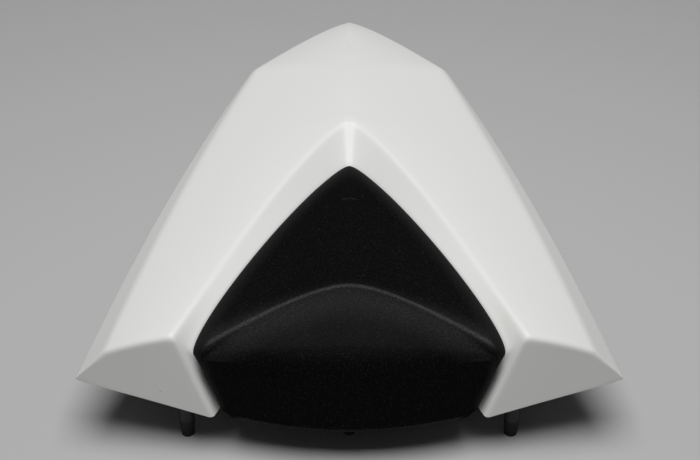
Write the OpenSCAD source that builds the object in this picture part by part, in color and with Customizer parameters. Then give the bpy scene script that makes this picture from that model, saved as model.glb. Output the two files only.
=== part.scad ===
// Rear seat cowl for a motorbike: a creased white shell, a black bump pad and a black base.
// Lengths are millimetres. X runs across, Y towards the tail, Z up from the ground.
// Points are first set out with Y = 0 at the front corners, then moved so the part is centred.

/* [Shell outline] */
// Half width at the front corners, to the lower edge
corner_x = 156; // [140:0.1:165]
// Height of the lower edge at the front corners
corner_h = 45; // [40:0.5:50]
// Tail tip, behind the front corners
tail_y = 331.5; // [310:0.5:350]
// Height of the tail tip
tail_h = 99; // [94:0.5:104]
// Half width of the deck where the tail edge meets the shoulder
hip_x = 67.6; // [60:0.1:74]
// Distance of that corner behind the front corners
hip_y = 270; // [258:1:282]
// Height of that corner
hip_h = 94; // [90:0.5:97]
// Half width of the deck at the front end of the shoulder
shoulder_x = 139.5; // [132:0.1:144]
// Height of the front end of the shoulder
shoulder_h = 63.5; // [60:0.5:67]

/* [Crest and bevel] */
// Apex of the crest, behind the front corners
apex_y = 180; // [172:1:190]
// Height of the apex
apex_h = 108.4; // [104:0.2:112]
// Half width at the front end of the crest
crest_x = 100; // [95:0.5:106]
// Height of the front end of the crest
crest_h = 76; // [72:0.5:80]
// Tip of the pad, behind the front corners
pad_tip_y = 155.5; // [148:0.5:160]
// Height of the tip of the pad
pad_tip_h = 87.3; // [84:0.1:92]
// Half width of the pad at its side corners
pad_x = 87.6; // [83:0.1:90]
// Height of the pad's side corners
pad_h = 64.7; // [60:0.1:68]
// Depth of the lip that runs on below the pad line
lip_depth = 8; // [5:0.5:10]

/* [Wing fronts] */
// Half width at the bottom of the toes
toe_x = 79; // [76:0.5:82]
// Reach of the toes in front of the front corners
toe_reach = 12; // [9:0.5:14]
// Height of the bottom of the toes
toe_h = 25; // [22:0.5:28]
// Width of the rounded band on the inner side of each toe
toe_band = 4; // [3:0.5:6]

/* [Walls and rounding] */
// Wall of the shell
wall = 3; // [2:0.1:3.4]
// Length of the rounding on each side of the shoulder
shoulder_round = 4; // [2:0.5:5]
// Length of the rounding on each side of the tail's edge
tail_round = 2.4; // [1.5:0.1:3]
// Length of the rounding on each side of the crest
crest_round = 2.4; // [1.5:0.1:3]
// Length of the rounding on each side of the band's lower edge
band_round = 1.6; // [1:0.1:2]
// Height of the shell's rim at the tail
rim_tail_h = 47; // [45:0.5:56]
// Reach of the side band beyond the hip
band_out = 4.6; // [3:0.1:6]
// Reach of the tail's band behind the tail tip
tail_out = 2.5; // [1.5:0.1:3.5]
// Height of the side band at the hip
band_drop = 6; // [4:0.5:8]
// Distance of the rim inside the band
rim_in = 1.5; // [0.5:0.1:2.5]

/* [Pad] */
// Height of the pad's ridge at the middle
ridge_h = 86; // [82:0.5:88]
// Distance of the ridge behind the front corners, at the middle
ridge_y = 34; // [30:0.5:40]
// Height of the pad's fold line at the middle
fold_h = 63.3; // [58:0.1:66]
// Reach of the fold line in front of the front corners, at the middle
fold_reach = 8.4; // [6:0.1:10]
// Height of the pad's bottom front edge at the middle
skirt_h = 22.8; // [20:0.1:25]
// Reach of the bottom front edge in front of the front corners
skirt_reach = 21; // [18:0.5:24]
// Half width of the bottom front edge
skirt_x = 69; // [64:0.5:71]
// Thickness of the pad behind its front face
skirt_t = 9; // [7:0.5:10]
// Gap between the pad and the shell
pad_gap = 0.4; // [0.3:0.05:0.6]
// Height of the pad's flat underside above the base plate
pad_lift = 9; // [8:0.5:11]

/* [Base] */
// Thickness of the base plate and of the pad carrier
plate_t = 3; // [2.5:0.1:4]
// Height of the top face of the base plate
base_h = 45; // [43:0.5:46]
// Distance of the base plate's edge inside the rim
base_inset = 6; // [5:0.5:9]
// Height of the ribs under the base plate
rib_h = 8; // [5:0.5:12]
// Thickness of the ribs
rib_t = 2.5; // [2:0.1:3]

/* [Feet] */
// Radius of a foot where it meets the ground
foot_r = 3.8; // [3:0.1:4.2]
// Radius of a post and of the top of a foot
post_r = 4.5; // [4:0.1:5]
// Height of a rubber foot below its post
foot_h = 12; // [8:0.5:16]
// Radius of the stem that plugs into the post
stem_r = 2.2; // [1.5:0.1:2.6]
// Length of the stem
stem_l = 7; // [5:0.5:9]
// Reach of the gussets beside a post
gusset_l = 7; // [5:0.5:8]
// Half distance between the front feet
front_foot_x = 95.5; // [92:0.5:98]
// Distance of the front feet behind the front corners
front_foot_y = 1.7; // [1.5:0.1:4]
// Half distance between the rear feet
rear_foot_x = 50; // [45:1:56]
// Distance of the rear feet behind the front corners
rear_foot_y = 222; // [215:1:228]

/* [Lock striker] */
// Radius of the striker's round bar
bar_r = 3; // [2.5:0.1:3.5]
// Inside width of the loop
loop_w = 18; // [14:0.5:22]
// Reach of the loop below the striker plate
loop_drop = 28; // [24:0.5:30]
// Distance of the striker behind the front corners
striker_y = 42; // [36:1:50]
// Length of the striker plate
striker_l = 58; // [54:1:64]
// Width of the striker plate
striker_w = 28; // [24:1:32]
// Distance between the striker bolts
bolt_gap = 42; // [38:0.5:44]
// Radius of the bolts of the striker and the hooks
bolt_r = 3; // [2.5:0.5:3]
// Width across the flats of the bolt heads and nuts
bolt_af = 10; // [9:0.5:11]
// Height of the nuts
nut_h = 4.6; // [4:0.1:5.4]

/* [Hooks] */
// Width of a hook's steel strip
hook_w = 20; // [16:1:24]
// Thickness of the steel strip, and of the striker plate
steel_t = 2.5; // [2:0.1:3]
// Clear height between a hook's tongue and the level of its flange
hook_gap = 15; // [12:0.5:18]
// Length of a hook's flange
hook_flange = 22; // [20:1:26]
// Radius inside the bends of a hook
bend_r = 2.5; // [1.5:0.5:4]
// Length of the tongue
tongue = 22; // [16:1:26]
// Half distance between the hooks
hook_x = 24; // [20:1:28]
// Distance of the hooks' legs behind the front corners
hook_y = 240; // [236:1:244]

/* [Screws] */
// Radius of the screws that hold the shell and the pad
screw_r = 2; // [1.6:0.1:2.4]
// Radius of the screw heads
head_r = 4.5; // [4:0.1:5.5]
// Height of the screw heads
head_h = 2.6; // [2:0.1:3.2]
// Thickness of the washers
washer_t = 1; // [0.8:0.1:1.5]
// Length of a shell screw inside its boss
screw_bite = 11; // [8:0.5:12]
// Radius of the bosses inside the shell
boss_r = 4.5; // [4:0.1:5]

/* [Hidden] */
$fn = 48;
fit = 0.1;
hole_fit = 0.3;
tail_rows = 7;
hip_rows = 8;
wing_rows = 16;
apex_row = tail_rows + hip_rows;
last_row = apex_row + wing_rows;
deck_cols = 4;
round_cols = 3;
centre_y = (tail_y + tail_out - skirt_reach) / 2;
pad_floor_h = base_h + pad_lift;

// Curves
function mix(a, b, t) = a * (1 - t) + b * t;
function unit(v) = v / norm(v);
function bezier(c, t) = len(c) == 1 ? c[0]
    : bezier([for (i = [0:len(c) - 2]) mix(c[i], c[i + 1], t)], t);
function rounded(a, b, c, l, n) = [for (i = [0:n])
    bezier([b + l * unit(a - b), b, b + l * unit(c - b)], i / n)];
function flip(p) = [-p[0], p[1], p[2]];

// Lines of the shell, on the right hand side
tail_tip = [0, tail_y, tail_h];
hip = [hip_x, hip_y, hip_h];
shoulder_end = [shoulder_x, 1.5, shoulder_h];
crest_end = [crest_x, 0, crest_h];
apex = [0, apex_y, apex_h];
pad_tip = [0, pad_tip_y, pad_tip_h];
pad_corner = [pad_x, 0, pad_h];
toe = [toe_x, -toe_reach, toe_h];
toe_inner = toe + [-toe_band, 2, 5.5];
keel_line = [[0, tail_y - 35, tail_h + 3.6], [0, hip_y - 10, apex_h - 1.2], apex];
tail_line = [tail_tip, [0.28 * hip_x, tail_y - 5.2, tail_h - 1], hip];
shoulder_line = [
    hip,
    mix(hip, shoulder_end, 0.3) + [4.4, 0.7, -0.4],
    mix(hip, shoulder_end, 0.63) + [7.2, -0.8, -0.8],
    shoulder_end
];
band_line = [
    hip + [band_out, 0, -band_drop],
    mix(hip, [corner_x, 0, corner_h], 0.34) + [9.4, 2, -0.4],
    mix(hip, [corner_x, 0, corner_h], 0.67) + [9.2, 1, -1.2],
    [corner_x + 0.8, 0, corner_h]
];
crest_line = [apex, [0.367 * crest_x, 0.82 * apex_y, crest_h + 24], crest_end];
pad_line = [
    pad_tip,
    [0.256 * pad_x, 0.932 * pad_tip_y, pad_tip_h - 0.8],
    [0.991 * pad_x, 0.071 * pad_tip_y, pad_h + 15.3],
    pad_corner
];
apex_share = 0.355;
lip_slope = 50;
rim_below = 2.5;

function row_share(k) = (k - apex_row) / wing_rows;
function shoulder_share(k) = k <= apex_row
    ? apex_share * (k - tail_rows) / hip_rows
    : mix(apex_share, 1, row_share(k));
function pad_share(s) = pow(s, 1.35 + 0.95 * s);
function inner_point(k) = k < apex_row ? bezier(keel_line, k / apex_row)
    : bezier(crest_line, row_share(k));
function outer_point(k) = k < tail_rows ? bezier(tail_line, k / tail_rows)
    : bezier(shoulder_line, shoulder_share(k));
function band_point(k) = k < tail_rows
    ? outer_point(k) + [band_out * k / tail_rows, tail_out * (1 - k / tail_rows), -band_drop]
    : bezier(band_line, shoulder_share(k));
function rim_height(k) = k < tail_rows ? rim_tail_h
    : mix(rim_tail_h, corner_h - rim_below, shoulder_share(k));
function rim_point(k) =
    let (b = band_point(k), q = min(1, k / tail_rows))
    [b[0] - rim_in * q, b[1] - rim_in * (1 - q), rim_height(k)];
function bevel_point(k) = bezier(pad_line, pad_share(row_share(k)));
// Level direction from the pad line towards the pad, at a share of the line
function pad_inward(t) =
    let (d = bezier(pad_line, min(1, t + 0.02)) - bezier(pad_line, min(1, t + 0.02) - 0.02))
    unit(mix([0, -1, 0], unit([d[1], -d[0], 0]), min(1, t / 0.08)));
function lip_step(t) = cos(lip_slope) * pad_inward(t) - [0, 0, sin(lip_slope)];
// Direction square to the lip, towards the pad
function lip_normal(t) = sin(lip_slope) * pad_inward(t) + [0, 0, cos(lip_slope)];
// Direction of the lip beside a toe, from the pad's corner (0) to the bottom (1)
function toe_step(v) = unit(mix(lip_step(1), [-0.1, 1, 0], min(1, 2 * v)));
function lip_point(k) = bevel_point(k) + lip_depth * lip_step(pad_share(row_share(k)));

// Point on the deck, at a ruling and a share of the way out, with a slight crown
function deck_point(k, f) = mix(inner_point(k), outer_point(k), f) + [0, 0, 5 * f * (1 - f)];

// The corner of the crest is rounded in front of the apex only
function crest_points(k) =
    let (c = inner_point(k), d = deck_point(k, 1 / deck_cols), b = bevel_point(k))
    k <= apex_row ? [c, c + crest_round * unit(d - c)] : [
        rounded(b, c, d, crest_round, 2)[1],
        rounded(b, c, d, crest_round, 2)[2]
    ];

function deck_row(k) =
    let (o = outer_point(k), b = band_point(k), r = rim_point(k),
         inside = deck_point(k, 1 - 1 / deck_cols))
    concat(
        crest_points(k),
        [for (i = [1:deck_cols - 1]) deck_point(k, i / deck_cols)],
        rounded(inside, o, b, mix(tail_round, shoulder_round, min(1, k / tail_rows)), round_cols),
        rounded(o, b, r, band_round, 2),
        [mix(b, r, 0.6), r]
    );
rim_col = 2 + deck_cols - 1 + round_cols + 1 + 3 + 2 - 1;
edge_col = deck_cols + 1 + 1;
facet_rows = rim_col - edge_col;
bevel_cols = 5;

function bevel_row(k) =
    let (c = inner_point(k), b = bevel_point(k), d = deck_point(k, 1 / deck_cols),
         first = k <= apex_row ? c + crest_round * unit(b - c) : rounded(b, c, d, crest_round, 2)[0])
    [first, mix(first, b, 0.4), mix(first, b, 0.75), b, lip_point(k)];

// Front face of a wing and the band beside the pad
toe_crease = [for (m = [1:facet_rows]) mix(crest_points(last_row)[0], toe, m / facet_rows)];
function facet_point(m, c) =
    let (v = m / facet_rows, u = c / edge_col, top = deck_row(last_row),
         left = toe_crease[m - 1], right = top[edge_col + m],
         foot = mix(toe, top[rim_col], u))
    mix(top[c], foot, v) + mix(left, right, u)
        - mix(mix(top[0], top[edge_col], u), mix(toe, top[rim_col], u), v);
function toe_row(m) =
    let (v = m / facet_rows, a = toe_crease[m - 1], b = mix(pad_corner, toe_inner, v))
    [mix(a, b, 0.25), mix(a, b, 0.5), mix(a, b, 0.75), b, b + lip_depth * toe_step(v)];

// One half of the outer sheet: deck, bevel, wing front and toe band
deck_n = (last_row + 1) * (rim_col + 1);
bevel_n = (wing_rows + 1) * bevel_cols;
facet_n = facet_rows * edge_col;
half_n = deck_n + bevel_n + facet_n + facet_rows * bevel_cols;

function half_points() = concat(
    [for (k = [0:last_row]) let (row = deck_row(k)) each row],
    [for (k = [apex_row:last_row]) each bevel_row(k)],
    [for (m = [1:facet_rows], c = [0:edge_col - 1]) c == 0 ? toe_crease[m - 1] : facet_point(m, c)],
    [for (m = [1:facet_rows]) each toe_row(m)]
);
function deck_i(k, j) = k * (rim_col + 1) + j;
function bevel_i(k, j) = j == 0 ? deck_i(k, 0) : deck_n + (k - apex_row) * bevel_cols + j - 1;
function facet_i(m, c) = m == 0 ? deck_i(last_row, c)
    : c == edge_col ? deck_i(last_row, edge_col + m)
    : deck_n + bevel_n + (m - 1) * edge_col + c;
function toe_i(m, c) = m == 0 ? bevel_i(last_row, c)
    : c == 0 ? facet_i(m, 0)
    : deck_n + bevel_n + facet_n + (m - 1) * bevel_cols + c - 1;
function quad(a, b, c, d) = [[a, b, c], [a, c, d]];
half_faces = concat(
    [for (k = [0:last_row - 1], j = [0:rim_col - 1])
        each quad(deck_i(k, j), deck_i(k, j + 1), deck_i(k + 1, j + 1), deck_i(k + 1, j))],
    [for (k = [apex_row:last_row - 1], j = [0:bevel_cols - 1])
        each quad(bevel_i(k, j), bevel_i(k + 1, j), bevel_i(k + 1, j + 1), bevel_i(k, j + 1))],
    [for (m = [0:facet_rows - 1], c = [0:edge_col - 1])
        each quad(facet_i(m, c), facet_i(m, c + 1), facet_i(m + 1, c + 1), facet_i(m + 1, c))],
    [for (m = [0:facet_rows - 1], c = [0:bevel_cols - 1])
        each quad(toe_i(m, c), toe_i(m + 1, c), toe_i(m + 1, c + 1), toe_i(m, c + 1))]
);
// The free edge of the half sheet, from the tail round to the tip of the pad
free_edge = concat(
    [for (k = [0:last_row]) deck_i(k, rim_col)],
    [for (c = [edge_col - 1:-1:0]) facet_i(facet_rows, c)],
    [for (c = [1:bevel_cols]) toe_i(facet_rows, c)],
    [for (m = [facet_rows - 1:-1:0]) toe_i(m, bevel_cols)],
    [for (k = [last_row - 1:-1:apex_row]) bevel_i(k, bevel_cols)]
);

// Offsets each point inwards by the wall, square to the faces that meet there
function face_normal(p, f) = unit(cross(p[f[2]] - p[f[0]], p[f[1]] - p[f[0]]));
function sum_of(v, i = 0, s = [0, 0, 0]) = i == len(v) ? s : sum_of(v, i + 1, s + v[i]);
function inward(p, normals, i) =
    let (mine = [for (n = [0:len(half_faces) - 1])
             if (half_faces[n][0] == i || half_faces[n][1] == i || half_faces[n][2] == i) normals[n]],
         total = sum_of(mine),
         mean = unit(p[i][0] == 0 ? [0, total[1], total[2]] : total),
         lean = max(0.75, sum_of([for (n = mine) [n * mean, 0, 0]])[0] / len(mine)))
    p[i] - mean * wall / lean;

module shell_skin() {
    outer = half_points();
    normals = [for (f = half_faces) face_normal(outer, f)];
    inner = [for (i = [0:half_n - 1]) inward(outer, normals, i)];
    right = concat(outer, inner);
    points = concat(right, [for (p = right) flip(p)]);
    // A point on the middle plane belongs to both halves
    own = [for (i = [0:2 * half_n - 1]) right[i][0] == 0 ? i : i + 2 * half_n];
    half = concat(
        [for (f = half_faces) [f[0], f[1], f[2]]],
        [for (f = half_faces) [f[0] + half_n, f[2] + half_n, f[1] + half_n]],
        [for (e = [0:len(free_edge) - 2])
            each quad(free_edge[e], free_edge[e] + half_n,
                free_edge[e + 1] + half_n, free_edge[e + 1])]
    );
    polyhedron(points, concat(half, [for (f = half) [own[f[0]], own[f[2]], own[f[1]]]]));
}

// Places of the screws in the shell: a ruling and a share of the way out
boss_places = [[last_row - 5, 0.62], [apex_row + 4, 0.66], [tail_rows + 2, 0.62]];
function boss_xy(b) = [deck_point(b[0], b[1])[0], deck_point(b[0], b[1])[1]];

module boss(b) {
    p = deck_point(b[0], b[1]);
    du = deck_point(b[0], b[1] + 0.05) - p;
    dk = deck_point(b[0] - 1, b[1]) - p;
    n = unit(cross(du, dk));
    difference() {
        translate([p[0], p[1], base_h]) cylinder(r = boss_r, h = p[2] - base_h + 5);
        translate(p - n * wall * 0.55) rotate([0, acos(n[2]), atan2(n[1], n[0])])
            translate([-20, -20, 0]) cube([40, 40, 40]);
    }
}

module boss_bore(b) {
    p = deck_point(b[0], b[1]);
    translate([p[0], p[1], base_h - 1]) cylinder(r = screw_r + fit / 2, h = screw_bite + 2);
}

module both_sides() {
    children();
    mirror([1, 0, 0]) children();
}

module placed() {
    translate([0, -centre_y, 0]) children();
}

module cowl_shell() {
    color("white") placed() difference() {
        union() {
            shell_skin();
            both_sides() for (b = boss_places) boss(b);
        }
        both_sides() for (b = boss_places) boss_bore(b);
    }
}

// Pad
pad_cols = 10;
panel_rows = wing_rows - 1;
bolster_rows = 8;
face_rows = 6;
pad_rows = panel_rows + bolster_rows + face_rows;
fold_corner = [pad_x - 3.7, -0.5, pad_h - 3.2];
skirt_corner = [skirt_x, -toe_reach, toe_h];
// The rows of the pad lie at the same places along the pad line as those of the shell
function pad_row_share(r) = pad_share(min(1, (max(1, r) + 1) / wing_rows));
ridge_bend = 1.42;
edge_margin = 5;
edge_fall = 0.8;
// The surface proper ends at the shoulder, the pad at its edge, and its flank dips below the lip
function pad_shoulder(r) =
    let (t = pad_row_share(r), p = bezier(pad_line, t),
         end = p + min(edge_margin, 0.5 * p[0]) * pad_inward(t) + [0, 0, edge_fall])
    r <= panel_rows ? end
    : r <= panel_rows + bolster_rows ? mix(end, fold_corner, (r - panel_rows) / bolster_rows)
    : mix(fold_corner, skirt_corner, (r - panel_rows - bolster_rows) / face_rows);
function pad_edge(r) =
    let (t = pad_row_share(r),
         p = bezier(pad_line, t) + pad_gap * lip_normal(t) + edge_fall * lip_step(t),
         low = toe_inner - [pad_gap + 0.1, 0.3, 0])
    let (v = max(0, r - panel_rows) / (bolster_rows + face_rows))
    mix(p, low, v) - [2 * v * (1 - v), 5.5 * v * pow(1 - v, 3), 0];
function pad_deep(r) =
    let (t = pad_row_share(r), v = max(0, r - panel_rows) / (bolster_rows + face_rows))
    pad_edge(r) + (v == 0 ? (lip_depth + 1) * lip_step(t)
        : mix(lip_depth + 1, skirt_t - 2, min(1, 2 * v)) * toe_step(v) - [0, pad_gap, 0]);
function pad_middle(r) =
    let (q = (r - 1) / (panel_rows - 1))
    r <= panel_rows
        ? [0, mix(pad_tip_y - 4, ridge_y, q), mix(pad_tip_h, ridge_h, q) - panel_dip * q * (1 - q)]
    : r <= panel_rows + bolster_rows
        ? bezier([[0, ridge_y, ridge_h], [0, ridge_y * 0.25, mix(ridge_h, fold_h, 0.42)],
            [0, -fold_reach, fold_h]], (r - panel_rows) / bolster_rows)
    : mix([0, -fold_reach, fold_h], [0, -skirt_reach, skirt_h],
        (r - panel_rows - bolster_rows) / face_rows);
panel_dip = 8;
function pad_point(r, c) =
    let (a = abs(c), u = min(1, a / pad_cols), side = c < 0 ? -1 : 1,
         e = a <= pad_cols ? pad_shoulder(r) : a == pad_cols + 1 ? pad_edge(r) : pad_deep(r),
         m = pad_middle(r),
         bend = r <= panel_rows ? mix(1.2, ridge_bend, r / panel_rows)
             : mix(ridge_bend, 2, min(1, (r - panel_rows) / bolster_rows)))
    r == 0 ? [0.8 * c / pad_side * pad_deep(1)[0], pad_deep(1)[1] - 0.5, pad_deep(1)[2] - 0.5]
    : a > pad_cols ? [side * e[0], e[1], e[2]]
    : [side * u * e[0], mix(m[1], e[1], pow(u, bend)), mix(m[2], e[2], pow(u, bend))];
// Underside: level under the panel, then down the back of the front wall
function pad_under(r, c) =
    let (g = pad_deep(r), a = abs(c), side = c < 0 ? -1 : 1,
         w = max(0, r - panel_rows) / (bolster_rows + face_rows),
         fold = pad_point(panel_rows + bolster_rows, c), foot = pad_point(pad_rows, c),
         z = mix(pad_floor_h, foot[2], w), q = (fold[2] - z) / (fold[2] - foot[2]))
    r < panel_rows ? [c / pad_side * g[0], g[1] - (r == 0 ? 2 : 2.5), pad_floor_h]
    : a <= pad_cols ? [0.95 * mix(fold[0], foot[0], q), mix(fold[1], foot[1], q) + skirt_t, z]
    : [side * (g[0] - (a == pad_side ? 0.6 : 2.2)), g[1] + 0.5,
        mix(pad_floor_h, g[2] - 0.5, min(1, 4 * w))];
pad_side = pad_cols + 2;
pad_width = 2 * pad_side + 1;
pad_n = (pad_rows + 1) * pad_width;
function pad_i(r, c) = r * pad_width + c + pad_side;

module pad() {
    points = concat(
        [for (r = [0:pad_rows], c = [-pad_side:pad_side]) pad_point(r, c)],
        [for (r = [0:pad_rows], c = [-pad_side:pad_side]) pad_under(r, c)]
    );
    faces = concat(
        [for (r = [0:pad_rows - 1], c = [-pad_side:pad_side - 1])
            each quad(pad_i(r, c), pad_i(r, c + 1), pad_i(r + 1, c + 1), pad_i(r + 1, c))],
        [for (r = [0:pad_rows - 1], c = [-pad_side:pad_side - 1])
            each quad(pad_n + pad_i(r, c), pad_n + pad_i(r + 1, c),
                pad_n + pad_i(r + 1, c + 1), pad_n + pad_i(r, c + 1))],
        [for (c = [-pad_side:pad_side - 1])
            each concat(
                quad(pad_i(0, c), pad_n + pad_i(0, c), pad_n + pad_i(0, c + 1), pad_i(0, c + 1)),
                quad(pad_i(pad_rows, c), pad_i(pad_rows, c + 1),
                    pad_n + pad_i(pad_rows, c + 1), pad_n + pad_i(pad_rows, c)))],
        [for (r = [0:pad_rows - 1])
            each concat(
                quad(pad_i(r, -pad_side), pad_i(r + 1, -pad_side),
                    pad_n + pad_i(r + 1, -pad_side), pad_n + pad_i(r, -pad_side)),
                quad(pad_i(r, pad_side), pad_n + pad_i(r, pad_side),
                    pad_n + pad_i(r + 1, pad_side), pad_i(r + 1, pad_side)))]
    );
    color("#1c1c1e") placed() polyhedron(points, faces);
}

// Plan of the base plate, from the rim of the shell
function base_edge(k) =
    let (r = rim_point(k), n = unit([-(r[0]), k < tail_rows ? -0.6 * r[0] - 40 : 0, 0]))
    [r[0] + base_inset * n[0], r[1] + base_inset * n[1]];
// Distance of the front face of a wing, at a half width and a height
wing_normal = cross([corner_x, 0, corner_h - rim_below] - crest_end, toe - crest_end);
function wing_y(x, z) =
    -(wing_normal[0] * (x - crest_end[0]) + wing_normal[2] * (z - crest_end[2])) / wing_normal[1];
function base_front(x) = [x, wing_y(x, base_h) + wall * 1.03 + 0.6];
carrier_inset = 12;
carrier_side = 4;
carrier_lift = 6;
carrier_rib_gap = 26;
carrier_front_y = skirt_t + 0.5;
base_notch_y = carrier_front_y + rib_t + 1.5;
base_half = concat(
    [for (k = [1:last_row - 1]) base_edge(k)],
    [for (x = [corner_x - 20, corner_x - 32, corner_x - 46, toe_x + 8]) base_front(x)],
    [[toe_x + 8, base_notch_y]]
);
base_outline = concat(
    [for (i = [len(base_half) - 1:-1:0]) base_half[i]],
    [for (p = base_half) [-p[0], p[1]]]
);
base_under = base_h - plate_t;
carrier_under = pad_floor_h - plate_t;
pad_screw_shares = [[0.46, 0.4], [0.25, 0.72], [0.71, 0.155]];
pad_screw_places = [for (q = pad_screw_shares) [q[0] * pad_x, q[1] * pad_tip_y]];
foot_places = [[front_foot_x, front_foot_y], [rear_foot_x, rear_foot_y]];
gusset_angles = [[60, 150], [45, 135, 270]];
hook_bolt_y = hook_y - hook_flange / 2 - 1;
rib_x = hook_x + hook_w / 2 + 2;
cross_rib_half = 62;
rib_front_y = striker_y + striker_w / 2 + 12;
rib_rear_y = hook_y - hook_flange - 18;

// A thin web between a post and the underside of the base plate
module gusset(angle) {
    rotate([90, 0, angle]) translate([0, 0, -rib_t / 2]) linear_extrude(rib_t) polygon([
        [0, base_under + 1], [post_r + gusset_l, base_under + 1], [post_r + gusset_l, base_under - 1],
        [post_r - 0.5, base_under - 2 * gusset_l], [0, base_under - 2 * gusset_l]
    ]);
}

module base_plate() {
    color("#151515") placed() difference() {
        union() {
            translate([0, 0, base_under]) linear_extrude(plate_t) polygon(base_outline);
            both_sides() for (i = [0:1]) translate([foot_places[i][0], foot_places[i][1], 0]) {
                translate([0, 0, foot_h]) cylinder(r = post_r, h = base_under - foot_h + 1);
                for (a = gusset_angles[i]) gusset(a);
            }
            both_sides() for (p = pad_screw_places)
                translate([p[0], p[1], base_h - 1]) cylinder(r = boss_r, h = carrier_under - base_h + 1);
            both_sides() translate([rib_x, rib_front_y, base_under - rib_h])
                cube([rib_t, rib_rear_y - rib_front_y + rib_t, rib_h + 1]);
            for (y = [rib_front_y, (rib_front_y + rib_rear_y) / 2, rib_rear_y])
                translate([-cross_rib_half, y, base_under - rib_h])
                    cube([2 * cross_rib_half, rib_t, rib_h + 1]);
        }
        both_sides() for (p = foot_places)
            translate([p[0], p[1], foot_h - 1]) cylinder(r = stem_r + fit / 2, h = stem_l + 2);
        both_sides() for (p = pad_screw_places)
            translate([p[0], p[1], base_under - 1])
                cylinder(r = screw_r + hole_fit, h = carrier_under - base_under + 2);
        both_sides() for (b = boss_places)
            translate([boss_xy(b)[0], boss_xy(b)[1], base_under - 1])
                cylinder(r = screw_r + hole_fit, h = plate_t + 2);
        both_sides() translate([bolt_gap / 2, striker_y, base_under - 1])
            cylinder(r = bolt_r + hole_fit, h = plate_t + 2);
        both_sides() translate([hook_x, hook_bolt_y, base_under - 1])
            cylinder(r = bolt_r + hole_fit, h = plate_t + 2);
    }
}

carrier_half = concat(
    [for (i = [2:8]) let (p = bezier(pad_line, i / 10) + carrier_inset * pad_inward(i / 10)) [p[0], p[1]]],
    [[skirt_x - 2, carrier_front_y]]
);
carrier_outline = concat(
    carrier_half,
    [for (i = [len(carrier_half) - 1:-1:0]) [-carrier_half[i][0], carrier_half[i][1]]]
);
module pad_carrier() {
    color("#1a1a1a") placed() difference() {
        union() {
            translate([0, 0, carrier_under]) linear_extrude(plate_t) polygon(carrier_outline);
            translate([carrier_side - skirt_x, carrier_front_y, skirt_h + carrier_lift])
                cube([2 * (skirt_x - carrier_side), rib_t, carrier_under - skirt_h - carrier_lift + 1]);
            for (x = [-2:2]) translate([x * carrier_rib_gap - rib_t / 2, carrier_front_y + rib_t - 0.5, 0])
                rotate([90, 0, 90]) linear_extrude(rib_t) polygon([
                    [0, carrier_under + 1], [pad_lift, carrier_under + 1], [pad_lift, carrier_under],
                    [0.5, base_h + 0.6], [0, base_h + 0.6]
                ]);
        }
        both_sides() for (p = pad_screw_places)
            translate([p[0], p[1], carrier_under - 1]) cylinder(r = screw_r + fit / 2, h = plate_t + 2);
    }
}

striker_top = base_under;
striker_under = striker_top - steel_t;
plate_corner_r = 4;
loop_r = loop_w / 2 + bar_r;
loop_centre_h = striker_under - loop_drop + loop_r + bar_r;
module striker_plate() {
    color("silver") placed() difference() {
        translate([0, striker_y, striker_under]) linear_extrude(steel_t)
            offset(r = plate_corner_r)
                square([striker_l - 2 * plate_corner_r, striker_w - 2 * plate_corner_r], center = true);
        both_sides() translate([bolt_gap / 2, striker_y, striker_under - 1])
            cylinder(r = bolt_r + hole_fit, h = steel_t + 2);
    }
}

module striker_loop() {
    color("silver") placed() translate([0, striker_y, 0]) {
        both_sides() translate([loop_r, 0, loop_centre_h])
            cylinder(r = bar_r, h = striker_under - loop_centre_h);
        translate([0, 0, loop_centre_h]) rotate([-90, 0, 0])
            rotate_extrude(angle = 180) translate([loop_r, 0]) circle(r = bar_r);
    }
}

module bolt(r, head_af, grip) {
    cylinder(r = r, h = grip);
    translate([0, 0, -0.6 * 2 * r]) cylinder(r = head_af / sqrt(3), h = 0.6 * 2 * r, $fn = 6);
}

module ring(r_out, r_in, h) {
    difference() {
        cylinder(r = r_out, h = h);
        translate([0, 0, -1]) cylinder(r = r_in, h = h + 2);
    }
}

module nut(r, af, h) {
    difference() {
        cylinder(r = af / sqrt(3), h = h, $fn = 6);
        translate([0, 0, -1]) cylinder(r = r + fit / 2, h = h + 2);
    }
}

bolt_proud = 0.5;
bolt_grip = washer_t + steel_t + plate_t + nut_h + bolt_proud;
module striker_bolts() {
    color("#b8bcc0") placed() both_sides()
        translate([bolt_gap / 2, striker_y, striker_under - washer_t]) bolt(bolt_r, bolt_af, bolt_grip);
}

module striker_washers() {
    color("#c8ccd0") placed() both_sides()
        translate([bolt_gap / 2, striker_y, striker_under - washer_t])
            ring(2 * bolt_r, bolt_r + hole_fit, washer_t);
}

module striker_nuts() {
    color("#b8bcc0") placed() both_sides()
        translate([bolt_gap / 2, striker_y, base_h]) nut(bolt_r, bolt_af, nut_h);
}

function arc(c, r, from, to) = [for (i = [0:bend_steps]) let (a = mix(from, to, i / bend_steps))
    c + r * [cos(a), sin(a)]];
bend_steps = 6;
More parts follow.
